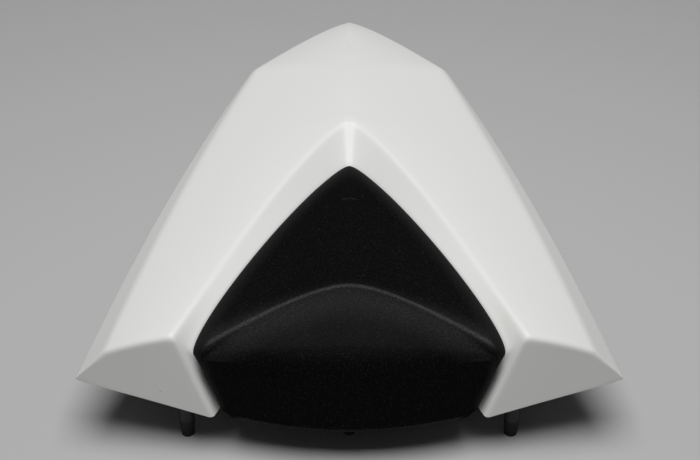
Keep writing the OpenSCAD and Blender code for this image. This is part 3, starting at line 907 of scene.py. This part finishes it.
def dress_pad(
    made: Material, skin: Node, groups: Groups, finish: Finish, lines: Sequence[HighlightAndMarkLine],
    tones: PadTones = PadTones(),
) -> None:
    """Gives the pad its light flecks, a painted sheen along its margin and its lighter lines: painted
    highlights along the ridge and faint marks.

    Args:
        made: The pad's material.
        skin: Its Principled node.
        groups: The shared shader groups.
        finish: The pad's finish.
        lines: The lighter lines, painted highlights along the ridge and faint marks.
        tones: The colours and the spread of all three.
    """
    tree = made.node_tree
    grain = place_group(tree, groups.grain, {"Scale": finish.grain * tones.fleck_scale})
    under = blend(tree, grain.outputs["Fleck"], finish.colour, tones.fleck)
    # Painted sheen: the pad is lighter near its edge, where its rounded margin faces the light
    margin = add_node(tree, "ShaderNodeAttribute", {}, attribute_name=MARGIN_SHEEN)
    under = blend(tree, margin.outputs["Fac"], under, tones.margin)
    spread = {
        "Value": grain.outputs["Speck"],
        "From Min": tones.speck_span[0], "From Max": tones.speck_span[1],
        "To Min": tones.speck_strength[0], "To Max": tones.speck_strength[1],
    }
    speckle = add_node(tree, "ShaderNodeMapRange", spread)
    # Lighter lines over the colour: painted highlights along the ridge, and faint marks
    for one in lines:
        values = {
            "Middle": one.middle, "End": one.end, "Half Length": one.half_length, "Bend": one.bend,
            "Width": one.width, "Lowest": one.lowest,
        }
        mask = place_group(tree, groups.line, values)
        faded = calculate(tree, "MULTIPLY", mask.outputs["Mask"], one.strength)
        rough = calculate(tree, "MULTIPLY", faded, speckle.outputs["Result"], clamp=True)
        under = blend(tree, rough, under, tones.highlight_and_mark)
    tree.links.new(under, skin.inputs["Base Color"])


@dataclass(frozen=True)
class SpeckAndShadeSpot:
    """A spot of colour on the shell, for the small dark specks and for a patch of painted shade: where it
    is, how far it spreads, its colour and how strong it is.
    """

    centre: Triple
    radius: float
    colour: Colour
    strength: float
    stretch: Triple = (1.0, 1.0, 1.0)


def add_specks_and_shade(made: Material, skin: Node, groups: Groups, base: Colour, marks: Sequence[SpeckAndShadeSpot]) -> None:
    """Lays small specks and patches of painted shade over a material's colour.

    Args:
        made: The material.
        skin: Its Principled node.
        groups: The shared shader groups.
        base: The colour under the marks.
        marks: The specks and the patches of painted shade, laid one over the other.
    """
    tree, under = made.node_tree, base
    for mark in marks:
        values = {"Centre": mark.centre, "Radius": mark.radius, "Stretch": mark.stretch}
        spot = place_group(tree, groups.spot, values)
        faded = calculate(tree, "MULTIPLY", spot.outputs["Mask"], mark.strength)
        under = blend(tree, faded, under, mark.colour)
    tree.links.new(under, skin.inputs["Base Color"])


# Pieces


@dataclass
class Shell:
    """The creased white shell, with sizes in millimetres and shares of what they are taken from."""

    lines: CowlLines
    shift: float
    wall: float = 3.0
    front_round: float = 3.0
    corner_round: float = 0.3
    corner_share: float = 0.15
    crest_steps: int = 6
    apex_round: float = 4.2
    middle_round: float = 14.0
    deck_steps: int = 16
    shoulder_steps: int = 6
    band_steps: int = 4
    flank_steps: int = 10
    side_steps: int = 5
    toe_round: float = 2.0
    bevel_steps: int = 8
    front_steps: int = 5
    toe_fade: float = 0.15
    apex_near: float = 0.75
    foot_sag: float = 0.7
    turn_softening: int = 24
    soft_rows: int = 11
    edge_softening: float = 0.15
    band_turn: float = 0.55
    band_sink: Triple = (0.8, 5.4, -5.0)
    band_bulge: Triple = (-0.6, 0.6, -0.3)
    bulge_at: Pair = (0.5, 0.2)
    ruling_counts: tuple[int, int, int] = (30, 12, 60)
    deck_sight: float = 0.25
    keel_sight: float = 0.97
    keel_step: float = 0.01
    first_step: float = 0.6
    crest_growth: float = 3.0
    middle_from: float = 0.5
    foot_bow: float = 12.0
    foot_power: float = 5.0

    def crest_rounding(self, ruling: float) -> list[Vector]:
        """The rounding of the crest at a ruling, from the bevel's side to the deck's.

        Args:
            ruling: The ruling.

        Returns:
            The points of the rounding.
        """
        lines = self.lines
        crest, deck = lines.inner(ruling), lines.deck(ruling, self.deck_sight)
        bevel = lines.bevel(max(ruling, lines.apex_at))
        half = self.crest_steps // 2
        out, back, reach = (deck - crest).normalized(), (bevel - crest).normalized(), self.apex_round
        if ruling < lines.apex_at:
            reach = min(reach, self.first_step * (lines.deck(ruling, 1 / self.deck_steps) - crest).length)
            return [crest] * half + [crest + out * reach * i / half for i in range(half + 1)]
        if ruling == lines.apex_at:
            tailward = (lines.keel(self.keel_sight) - crest).normalized()
            over = [crest + back * reach, crest, crest + tailward * reach]
            fore = [bezier(over, 0.5 * i / half) for i in range(half + 1)]
            end = crest + out * reach
            aft = [fore[-1], mix(crest, end, 0.5), end]
            return fore + [bezier(aft, i / half) for i in range(1, half + 1)]
        growth = ease(self.crest_growth * lines.wing_share(ruling))
        reach = number_mix(self.apex_round, lines.crest_round, growth)
        return rounded(bevel, crest, deck, reach, self.crest_steps)

    def deck_row(self, ruling: float) -> list[Vector]:
        """Points from the crest out over the deck and down the side to the rim.

        Args:
            ruling: The ruling.

        Returns:
            The points.
        """
        lines = self.lines
        edge, band, rim = lines.outer(ruling), lines.band(ruling), lines.rim(ruling)
        crest = self.crest_rounding(ruling)[self.crest_steps // 2 :]
        count = self.deck_steps
        first = (crest[-1] - lines.inner(ruling)).length / (edge - lines.inner(ruling)).length
        reach = number_mix(lines.tail_round, lines.shoulder_round, min(1.0, ruling / lines.tail_end))
        upper = rounded(lines.deck(ruling, 1 - 1 / count), edge, band, reach, self.shoulder_steps)
        lower = rounded(edge, band, rim, min(lines.band_round, 0.5 * (band - rim).length), self.band_steps)
        return (
            crest
            + [lines.deck(ruling, out) for out in steps(first, 1 - 1 / count, count - 1)[1:]]
            + upper
            + [mix(upper[-1], lower[0], i / self.flank_steps) for i in range(1, self.flank_steps)]
            + lower
            + [mix(lower[-1], rim, i / self.side_steps) for i in range(1, self.side_steps + 1)]
        )

    def level_middle(self, ruling: float, row: list[Vector]) -> list[Vector]:
        """Rounds the deck where its two halves meet on the middle plane.

        Args:
            ruling: The ruling.
            row: Its points.

        Returns:
            The points, with those near the middle plane moved up or down.
        """
        lines = self.lines
        start, reach = self.middle_from * lines.tail_end, self.middle_round
        if not start < ruling < lines.apex_at:
            return row
        share = ruling / lines.apex_at
        keel, out = lines.keel(share) - lines.keel(share - self.keel_step), row[1] - row[0]
        slope = (out.z - out.y * keel.z / keel.y) / out.x
        weight = ease(ruling / start - 1) * (1 - ease(ruling + 1 - lines.apex_at))
        rise = [weight * slope * max(0.0, reach - point.x) ** 3 / (3 * reach**2) for point in row]
        return [point + Vector((0, 0, up)) for point, up in zip(row, rise)]

    def edge_column(self) -> int:
        """Column in the middle of the shoulder's rounding."""
        return self.crest_steps // 2 + self.deck_steps + self.shoulder_steps // 2

    def bevel_row(self, ruling: float) -> list[Vector]:
        """Points from the crest down the bevel and the lip, from the apex forward.

        Args:
            ruling: The ruling, at the apex or past it.

        Returns:
            The points.
        """
        lines = self.lines
        bevel = lines.bevel(ruling)
        share = lines.pad_share(lines.wing_share(ruling))
        crest = self.crest_rounding(ruling)[: self.crest_steps // 2 + 1][::-1]
        down = [mix(crest[-1], bevel, at) for at in steps(0.0, 1.0, self.bevel_steps)[1:]]
        lip = [bevel + lines.lip_step(share) * lines.lip_depth * depth for depth in LIP_PLACES]
        return crest + down + lip

    def toe_row(self, drop: float) -> tuple[list[Vector], list[Vector]]:
        """Points on both sides of the toe's crease.

        Args:
            drop: Share of the way down the toe.

        Returns:
            The points from the crease over the soft band to the pad and down the lip, and the other half
            of the crease's rounding, towards the front face.
        """
        lines = self.lines
        crease = mix(lines.crest_front(), lines.toe_point(), drop)
        side = mix(lines.pad_side(), lines.toe_inner(), drop)
        soft = ease(drop / self.band_turn)
        sunk = side + Vector(self.band_sink) * soft
        bulge = mix(crease, side, number_mix(*self.bulge_at, soft)) + Vector(self.band_bulge) * soft
        outward = mix(lines.shoulder(1.0), lines.corner_point(), drop)
        turn = rounded(bulge, crease, outward, self.toe_round, self.crest_steps)
        half = self.crest_steps // 2
        down = [bezier([turn[0], bulge, sunk], at) for at in steps(0.0, 1.0, self.bevel_steps)[1:]]
        lip = [sunk + lines.toe_step(drop) * lines.lip_depth * depth for depth in LIP_PLACES]
        return turn[: half + 1][::-1] + down + lip, turn[half:]

    def front(self, last: Sequence[Vector], before: Sequence[Vector]) -> Rows:
        """Rounded edge round the top and the outer side of a wing's front.

        Args:
            last: Points of the last ruling.
            before: Points of the ruling before it.

        Returns:
            One row of points across the edge for each column.
        """
        lines = self.lines
        edge, low = self.edge_column(), len(last) - 1
        crease = (lines.toe_point() - last[0]).normalized()
        facing = (last[low] - last[0]).cross(lines.toe_point() - last[0]).normalized()
        span = self.shoulder_steps // 2 + 1
        rows = []
        for j, point in enumerate(last):
            along = last[min(low, j + span)] - last[max(0, j - span)]
            inward = facing.cross(along).normalized()
            if inward.dot(lines.toe_point() - point) < 0:
                inward = -inward
            inward = mix(crease, inward, ease(j / self.deck_steps)).normalized()
            fall = ease((j - edge) / (low - self.side_steps - self.band_steps - edge))
            start = mix(point, before[j], number_mix(1.0, self.corner_share, fall))
            end = point + inward * number_mix(self.front_round, self.corner_round, fall)
            rows.append([bezier([start, point, end], at) for at in steps(0.0, 1.0, self.front_steps)])
        return rows

    def wing_front(self, start: Sequence[Vector], creases: Rows) -> Rows:
        """Front face of a wing, between its rounded edge, the toe's crease and the foot.

        Args:
            start: Where the rounded edge ends, from the crest to the rim.
            creases: The front half of the toe's rounding, row by row down the toe.

        Returns:
            Rows of points, from the deck down to the foot.
        """
        half, edge = self.crest_steps // 2, self.edge_column()
        across = shares_along(start[half : edge + 1])
        side = [row[-1] for row in creases]
        sag = Vector((0, 0, -self.foot_sag)) * self.foot_bow
        foot = [mix(side[-1], start[-1], out) + sag * out**self.foot_power * (1 - out) for out in across]
        front = []
        for i, drop in enumerate(shares_along(start[edge:])):
            row = []
            for j, out in enumerate(across):
                corner = mix(mix(start[half], start[edge], out), mix(foot[0], foot[-1], out), drop)
                row.append(mix(start[half + j], foot[j], drop) + mix(side[i], start[edge + i], out) - corner)
            front.append(creases[i][:-1] + row)
        return front

    def soften_turn(self, surface: Rows, middle: int, crease_columns: int) -> Rows:
        """Softens the turn of the bevel into the band beside the pad.

        Args:
            surface: Rows of points, from the apex over the turn to the foot.
            middle: The row in the middle of the turn.
            crease_columns: How many columns come before the lip.

        Returns:
            The softened rows.
        """
        half = self.crest_steps // 2
        for _ in range(self.turn_softening):
            softer = [list(row) for row in surface]
            for i in range(middle - self.soft_rows, middle + self.soft_rows + 1):
                ends = 1.0 - abs(i - middle) / (self.soft_rows + 1)
                for j in range(half + 1, len(surface[i])):
                    bow = math.sin(math.pi * min(1.0, (j - half) / (crease_columns - 1 - half)))
                    weight = 0.5 * ends * max(bow, self.edge_softening if j > crease_columns / 2 else 0.0)
                    between = (surface[i - 1][j] + surface[i + 1][j]) / 2
                    softer[i][j] = mix(surface[i][j], between, weight)
            surface = softer
        return surface

    def build(self, material: Material) -> Object:
        """Builds the shell.

        Args:
            material: Its material.

        Returns:
            The piece.
        """
        lines = self.lines
        sheet = Sheet(self.shift)
        near = lines.apex_at + self.apex_near
        tail, apex, wing = self.ruling_counts
        rulings = steps(0.0, lines.apex_at, tail) + steps(lines.apex_at, near, apex)[1:]
        rulings += steps(near, lines.front_at, wing)[1:]
        deck = [self.level_middle(ruling, self.deck_row(ruling)) for ruling in rulings]
        bevel = [self.bevel_row(ruling) for ruling in rulings if ruling >= lines.apex_at]
        last, toe_row = deck[-1], bevel[-1]

        edge_rounds = self.front(last, deck[-2])
        start = [row[-1] for row in edge_rounds]
        sheet.grid(deck[:-1] + [[row[0] for row in edge_rounds]])
        sheet.grid([[row[i] for row in edge_rounds] for i in range(self.front_steps + 1)])

        # The toe's rounding is moved a little at its top, where it meets the wing's rounded edge
        first = (start[0] - last[0]).length / (lines.toe_point() - last[0]).length
        drops = [number_mix(first, 1.0, drop) for drop in shares_along(start[self.edge_column() :])]
        toes = [self.toe_row(drop) for drop in drops]
        shifts = [start[j] - toes[0][1][j] for j in range(self.crest_steps // 2 + 1)]
        fades = [1.0 - ease((drop - first) / self.toe_fade) for drop in drops]
        creases = [
            [point + move * fade for point, move in zip(toe[1], shifts)] for toe, fade in zip(toes, fades)
        ]
        sheet.grid(self.wing_front(start, creases))

        # Bevel and the soft band beside the pad, as one surface that turns round the pad's corner
        reach = len(toe_row) - 1
        band = [
            [point + shifts[0] * (fade * (1 - j / reach)) for j, point in enumerate(toe[0])]
            for toe, fade in zip(toes, fades)
        ]
        turn = [
            [bezier(points, at) for points in zip(bevel[-2], toe_row, band[0])]
            for at in steps(0.0, 1.0, self.front_steps)
        ]
        for row, point in zip(turn, edge_rounds[0]):
            row[0] = point
        surface = bevel[:-1] + turn[1:-1] + band
        middle = len(bevel) + self.front_steps // 2
        sheet.grid(self.soften_turn(surface, middle, len(toe_row) - len(LIP_PLACES)), turn=True)

        data = sheet.mesh("shell")
        turn_faces_out(data, upward=True)
        thicken(data, self.wall * MM)
        piece = show(data, "shell", material)
        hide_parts("cowl_shell")
        return piece


@dataclass
class BumpPad:
    """The black moulded pad: a sunken panel, a ridge, a bolster and a front face.

    A place down the pad is 0 at its tip, 1 at the ridge, 2 at the fold and 3 at the bottom edge.
    """

    lines: CowlLines
    shift: float
    ridge: Pair = (34.0, 86.0)
    fold: Pair = (8.4, 63.3)
    skirt: Triple = (67.2, 21.0, 22.8)
    skirt_wall: float = 9.0
    gap: float = 0.25
    floor: float = 54.0
    tip_start: float = 0.02
    tip_gap: float = 0.5
    margin: float = 9.0
    fall: float = 1.3
    bead: float = 0.7
    bead_from: float = 2.93
    tab_radius: float = 3.9
    tab_wall: float = 2.0
    tab_steps: int = 16
    fold_softening: int = 30
    dip: float = 8.0
    columns: int = 72
    panel_rows: int = 90
    bolster_rows: int = 26
    face_rows: int = 24
    roll: float = 1.4
    roll_steps: int = 12
    roll_lift: float = 0.7
    crown: float = ROUND_MIDDLE
    soften: int = 3
    fold_inset: Triple = (3.7, 0.5, 3.2)
    toe_gap: Pair = (0.1, 0.3)
    edge_bow: Pair = (2.0, 4.0)
    past_lip: float = 1.0
    skirt_step: float = 2.0
    bolster_guide: Pair = (0.25, 0.42)
    bends: Triple = (1.2, 1.42, 2.0)
    roll_guide: float = 0.2
    fold_near: int = 6
    bead_rows: int = 8
    margin_places: range = range(4, 290)
    # Painted sheen along the pad's edge: how far it reaches, how wide it stays full, how much narrower it
    # gets down the front face and how fast it fades
    sheen_reach: float = 11.0
    sheen_full: float = 0.8
    sheen_low: float = 0.3
    sheen_power: float = 1.6
    under_inset: float = 2.5
    under_taper: float = 0.95
    tab_rings: Pair = (0.7, 0.85)
    tab_groove: float = 0.5

    def line_share(self, place: float) -> float:
        """Share of the pad line at a place down the pad, 0 at the tip and 1 at the ridge."""
        return self.lines.pad_share(min(1.0, number_mix(self.tip_start, 1.0, place)))

    def shoulder(self, place: float) -> Vector:
        """Outer end of the surface proper.

        Args:
            place: The place down the pad.

        Returns:
            The point.
        """
        lines = self.lines
        share = self.line_share(place)
        point = lines.pad_line(share)
        rise = self.fall * min(1.0, point.x / (2 * self.margin))
        end = point + lines.pad_inward(share) * min(self.margin, 0.5 * point.x) + Vector((0, 0, rise))
        fold = lines.pad_side() - Vector(self.fold_inset)
        skirt = Vector((self.skirt[0], lines.toe[1], lines.toe[2]))
        if place <= 1:
            return end
        return mix(end, fold, place - 1) if place <= 2 else mix(fold, skirt, place - 2)

    def edge(self, place: float) -> Vector:
        """Edge of the pad, where it turns down beside the shell.

        Args:
            place: The place down the pad.

        Returns:
            The point.
        """
        lines = self.lines
        share, below = self.line_share(place), max(0.0, place - 1) / 2
        point = lines.pad_line(share) + lines.lip_normal(share) * self.gap
        low = lines.toe_inner() - Vector((self.gap + self.toe_gap[0], self.toe_gap[1], 0))
        inward, forward = self.edge_bow
        bow = Vector((inward * below * (1 - below), forward * below * (1 - below) ** 3, 0))
        return mix(point, low, below) - bow

    def deep(self, place: float) -> Vector:
        """Lower end of the pad's flank.

        Args:
            place: The place down the pad.

        Returns:
            The point.
        """
        lines = self.lines
        share, below = self.line_share(place), max(0.0, place - 1) / 2
        if below == 0:
            return self.edge(place) + lines.lip_step(share) * (lines.lip_depth + self.past_lip)
        top, bottom = lines.lip_depth + self.past_lip, self.skirt_wall - self.skirt_step
        reach = number_mix(top, bottom, min(1.0, 2 * below))
        return self.edge(place) + lines.toe_step(below) * reach - Vector((0, self.gap, 0))

    def middle(self, place: float) -> Vector:
        """Middle line of the pad.

        Args:
            place: The place down the pad.

        Returns:
            The point.
        """
        lines = self.lines
        ridge = Vector((0, *self.ridge))
        fold = Vector((0, -self.fold[0], self.fold[1]))
        skirt = Vector((0, -self.skirt[1], self.skirt[2]))
        if place <= 1:
            tip = lines.pad_line(0.0) + Vector((0, -self.tip_gap, self.tip_gap / 2))
            return mix(tip, ridge, place) - Vector((0, 0, self.dip * place * (1 - place)))
        if place <= 2:
            forward, down = self.bolster_guide
            guide = Vector((0, ridge.y * forward, number_mix(ridge.z, fold.z, down)))
            return bezier([ridge, guide, fold], place - 1)
        return mix(fold, skirt, place - 2)

    def row(self, place: float) -> list[Vector]:
        """Points across the right half, from the middle to the lower end of the flank.

        Args:
            place: The place down the pad.

        Returns:
            The points.
        """
        middle, shoulder = self.middle(place), self.shoulder(place)
        edge, deep = self.edge(place), self.deep(place)
        tip, ridge, fold = self.bends
        bend = number_mix(tip, ridge, place) if place <= 1 else number_mix(ridge, fold, min(1.0, place - 1))
        half = self.columns // 2
        flat = self.crown**bend
        full = (1 + self.crown**2) ** (bend / 2) - flat
        points = []
        for i in range(half + 1):
            out = i / half
            rise = ((out * out + self.crown**2) ** (bend / 2) - flat) / full
            y, z = number_mix(middle.y, shoulder.y, rise), number_mix(middle.z, shoulder.z, rise)
            points.append(Vector((out * shoulder.x, y, z)))
        turn = edge + (deep - edge).normalized() * self.roll
        lift = Vector((0, 0, self.roll_lift * min(1.0, edge.x / (2 * self.margin))))
        guides = [shoulder, mix(edge, shoulder, self.roll_guide) + lift, edge, turn]
        points += [bezier(guides, i / self.roll_steps) for i in range(1, self.roll_steps + 1)]
        return points + [mix(turn, deep, 0.5), deep]

    def rows(self) -> Rows:
        """All rows from the tip to the bottom edge, with the ridge and the fold softened.

        Returns:
            The rows of points.
        """
        places = steps(0.0, 1.0, self.panel_rows) + steps(1.0, 2.0, self.bolster_rows)[1:]
        places += steps(2.0, self.bead_from, self.face_rows)[1:]
        places += steps(self.bead_from, 3.0, self.bead_rows)[1:]
        rows = [self.row(place) for place in places]
        fold = self.panel_rows + self.bolster_rows
        for turn in range(self.fold_softening):
            near = self.fold_near if turn >= self.soften else len(rows)
            rows = [
                [(above + own * 2 + below) / 4 for above, own, below in zip(rows[i - 1], row, rows[i + 1])]
                if 0 < i < len(rows) - 1 and abs(i - fold) < near
                else row
                for i, row in enumerate(rows)
            ]
        half = self.columns // 2
        for place, row in zip(places, rows):
            bulge = math.sin(math.pi * max(0.0, place - self.bead_from) / (3.0 - self.bead_from))
            for j in range(half + 1):
                row[j] = row[j] - Vector((0, self.bead * bulge, 0))
        return rows

    def mark_edge_sheen(self, data: Mesh, sheet: Sheet) -> None:
        """Writes how near each point lies to the pad's edge, as an attribute that paints a sheen along the
        pad's margin.

        Args:
            data: The pad's mesh.
            sheet: The sheet that it came from.
        """
        places = [hundredth / 100 for hundredth in self.margin_places]
        edge = [sheet.place(self.edge(place)) for place in places]
        tree = KDTree(len(edge))
        for i, point in enumerate(edge):
            tree.insert(point, i)
        tree.balance()
        near = data.attributes.new(MARGIN_SHEEN, "FLOAT", "POINT")
        for vertex in data.vertices:
            x, y, z = vertex.co
            _, index, away = tree.find((abs(x), y, z))
            below = min(1.0, max(0.0, places[index] - 1.0))
            reach = self.sheen_reach * number_mix(1.0, self.sheen_low, below)
            fade = max(0.0, 1.0 - max(0.0, away / MM - self.sheen_full) / reach)
            near.data[vertex.index].value = fade**self.sheen_power

    def underside(self, rows: Rows) -> Rows:
        """Flat underside below the panel, and the back of the front wall below the ridge.

        Args:
            rows: The rows of the pad's surface.

        Returns:
            A row of points below each.
        """
        under = []
        for i, row in enumerate(rows):
            end = row[-1]
            if i < self.panel_rows:
                y = end.y - self.under_inset
                under.append([Vector((min(point.x, end.x), y, self.floor)) for point in row])
                continue
            share = (i - self.panel_rows) / (len(rows) - 1 - self.panel_rows)
            z = number_mix(self.floor, rows[-1][0].z, share)
            low = []
            for point in row:
                y = max(point.y, end.y - self.skirt_wall) + self.skirt_wall
                low.append(Vector((min(point.x * self.under_taper, end.x), y, min(z, point.z))))
            under.append(low)
        return under

    def tab(self, bottom: Vector) -> Rows:
        """The half round tab at the bottom of the front face.

        Args:
            bottom: Bottom edge of the front face, on the middle plane.

        Returns:
            Its rows of points, from one side round to the other.
        """
        middle = bottom + Vector((0, self.tab_wall / 4, self.tab_groove))
        back, groove = Vector((0, self.tab_wall, 0)), Vector((0, -self.tab_groove, 0))
        inner, outer = self.tab_rings
        rows = []
        for turn in steps(0.0, math.pi, self.tab_steps):
            rim = middle + Vector((math.cos(turn), 0, -math.sin(turn))) * self.tab_radius
            ring = mix(middle, rim, outer) + groove
            rows.append([middle, mix(middle, rim, inner), ring, rim, rim + back, middle + back])
        return rows

    def build(self, material: Material) -> Object:
        """Builds the pad with its flanks, the back of its front wall and its flat underside.

        Args:
            material: Its material.

        Returns:
            The piece.
        """
        rows = self.rows()
        under = self.underside(rows)
        sheet = Sheet(self.shift)
        sheet.grid(rows)
        sheet.grid(under, turn=True)
        sheet.grid([rows[-1], under[-1]])
        sheet.grid([under[0], rows[0]])
        sheet.grid([[row[-1], low[-1]] for row, low in zip(rows, under)])
        sheet.grid(self.tab(rows[-1][0]), mirrored=False)
        data = sheet.mesh("pad")
        self.mark_edge_sheen(data, sheet)
        turn_faces_out(data)
        piece = show(data, "pad", material, sharp=60.0)
        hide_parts("pad")
        return piece


@dataclass
class Hardware:
    """The base, the lock striker, the hooks, the feet and the screws, kept as the CAD model has them."""

    nodes: dict[Slot, tuple[str, ...]] = field(
        default_factory=lambda: {
            Slot.BLACK_PLASTIC: ("pad_carrier", "base_plate"),
            Slot.ZINC_STEEL: (
                "striker_plate", "striker_loop", "striker_bolts", "striker_washers", "striker_nuts",
                "hook_left", "hook_right", "hook_bolts", "hook_nuts", "shell_washers",
            ),
            Slot.RUBBER: ("foot_front_left", "foot_front_right", "foot_rear_left", "foot_rear_right"),
            Slot.BLACK_STEEL: ("shell_screws", "pad_screws"),
        }
    )

    def dress(self, materials: dict[Slot, Material]) -> None:
        """Gives every CAD piece its finish.

        Args:
            materials: The materials by slot.
        """
        for slot, names in self.nodes.items():
            for name in names:
                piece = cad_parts[name]
                piece.data.materials.clear()
                piece.data.materials.append(materials[slot])
                log.info("%s: %s", name, slot.value)


# Studio


@dataclass(frozen=True)
class Studio:
    """The floor, the lamp and the camera, in metres."""

    floor_colour: Colour = (0.5, 0.5, 0.5)
    floor_reach: float = 4.0
    floor_roughness: float = 0.9
    sky: float = 0.06
    lamp_place: Triple = (0.0, -0.2, 1.4)
    lamp_aim: Triple = (0.0, 0.0, 0.05)
    lamp_size: float = 1.0
    lamp_watts: float = 18.3
    camera_height: float = 0.572
    camera_back: float = 0.7304
    camera_down: float = math.radians(36.32)
    lens: float = 69.58
    shift: float = 0.001
    sensor: float = 36.0
    view_span: Pair = (0.01, 20.0)

    def floor(self) -> None:
        """Lays a plain pale floor."""
        data = bpy.data.meshes.new("floor")
        reach = self.floor_reach
        corners = [(-reach, -reach, 0), (reach, -reach, 0), (reach, reach, 0), (-reach, reach, 0)]
        data.from_pydata(corners, [], [(0, 1, 2, 3)])
        piece = bpy.data.objects.new("floor", data)
        bpy.context.scene.collection.objects.link(piece)
        made = bpy.data.materials.new("floor")
        made.use_nodes = True
        skin = made.node_tree.nodes["Principled BSDF"]
        skin.inputs["Base Color"].default_value = (*self.floor_colour, 1.0)
        skin.inputs["Roughness"].default_value = self.floor_roughness
        data.materials.append(made)

    def light(self) -> None:
        """Hangs one square soft lamp above and sets an even sky."""
        light = bpy.data.lights.new("top", "AREA")
        light.size = self.lamp_size
        light.energy = self.lamp_watts
        lamp = bpy.data.objects.new("top", light)
        bpy.context.scene.collection.objects.link(lamp)
        lamp.location = self.lamp_place
        aim = Vector(self.lamp_aim) - Vector(self.lamp_place)
        lamp.rotation_euler = aim.to_track_quat("-Z", "Y").to_euler()
        world = bpy.data.worlds.new("sky")
        world.use_nodes = True
        sky = world.node_tree.nodes["Background"]
        sky.inputs["Color"].default_value = (1, 1, 1, 1)
        sky.inputs["Strength"].default_value = self.sky
        bpy.context.scene.world = world

    def camera(self) -> None:
        """Sets the camera as the photograph's."""
        lens = bpy.data.cameras.new("camera")
        lens.lens = self.lens
        lens.sensor_width = self.sensor
        lens.shift_x = self.shift
        lens.clip_start, lens.clip_end = self.view_span
        eye = bpy.data.objects.new("camera", lens)
        bpy.context.scene.collection.objects.link(eye)
        eye.location = (0.0, -self.camera_back, self.camera_height)
        eye.rotation_euler = (math.pi / 2 - self.camera_down, 0.0, 0.0)
        bpy.context.scene.camera = eye


def finishes() -> tuple[Finish, ...]:
    """The finishes, one for each slot."""
    return (
        Finish(Slot.SHELL, (0.82, 0.82, 0.805), (0.3, 0.36), grain=260.0, height=0.00001, strength=0.12,
               specular=0.32),
        Finish(Slot.PAD, (0.0028, 0.0028, 0.003), (0.42, 0.52), grain=1300.0, height=0.00012, strength=0.6,
               specular=0.035),
        Finish(Slot.BLACK_PLASTIC, (0.012, 0.012, 0.013), (0.55, 0.68), grain=1600.0, height=0.00004),
        Finish(Slot.ZINC_STEEL, (0.56, 0.57, 0.58), (0.3, 0.45), metallic=1.0, grain=700.0, height=0.00001),
        Finish(Slot.RUBBER, (0.007, 0.007, 0.007), (0.75, 0.9), grain=1200.0, height=0.00003),
        Finish(Slot.BLACK_STEEL, (0.03, 0.03, 0.032), (0.32, 0.42), metallic=0.6, grain=900.0,
               height=0.00001),
    )


PAD_HIGHLIGHTS_AND_MARKS = (
    # Painted highlight along the ridge: a wide faint band just in front of it, then a narrow bright line on
    # it
    HighlightAndMarkLine(-0.1305, -0.1615, 0.084, 1.42, 0.016, 0.2, lowest=0.060),
    HighlightAndMarkLine(-0.1225, -0.1589, 0.084, 1.42, 0.002, 0.75, lowest=0.064),
    # A faint lighter arc on the panel
    HighlightAndMarkLine(-0.0379, -0.0403, 0.0045, 2.0, 0.0008, 0.3, lowest=0.064),
    # A lighter line along the bottom edge of the front face
    HighlightAndMarkLine(-0.1780, -0.1690, 0.0665, 2.0, 0.0006, 0.35),
)

SHELL_SPECKS_AND_SHADE = (
    # Two small dark specks
    SpeckAndShadeSpot((-0.0737, -0.1014, 0.094), 0.0014, (0.3, 0.29, 0.27), 0.8),
    SpeckAndShadeSpot((-0.1079, -0.163, 0.0405), 0.0010, (0.3, 0.29, 0.27), 0.7),
    # Painted shade: the bevel and band beside the pad's right corner go darker and yellower towards the pad
    SpeckAndShadeSpot((0.091, -0.1365, 0.070), 0.016, (0.68, 0.67, 0.58), 0.45, stretch=(0.45, 1.0, 0.7)),
)


def main() -> None:
    """Builds the pieces in order and reports each."""
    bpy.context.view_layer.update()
    bpy.context.scene.view_settings.view_transform = "Standard"
    groups = Groups(skin_grain(), soft_spot(), cloudy_tone(), curved_line())
    materials: dict[Slot, Material] = {}
    for finish in finishes():
        made, skin = finish.shader(groups)
        materials[finish.slot] = made
        if finish.slot is Slot.SHELL:
            add_specks_and_shade(made, skin, groups, finish.colour, SHELL_SPECKS_AND_SHADE)
        if finish.slot is Slot.PAD:
            dress_pad(made, skin, groups, finish, PAD_HIGHLIGHTS_AND_MARKS)
    lines = CowlLines()
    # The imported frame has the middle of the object's length at Y = 0
    shift = (BumpPad.skirt[1] - lines.tail[0] - lines.tail_overhang) / 2
    log.info("Shift along Y: %.2f mm", shift)
    Shell(lines, shift).build(materials[Slot.SHELL])
    BumpPad(lines, shift).build(materials[Slot.PAD])
    Hardware().dress(materials)
    studio = Studio()
    studio.floor()
    studio.light()
    studio.camera()


if __name__ == "__main__":
    main()
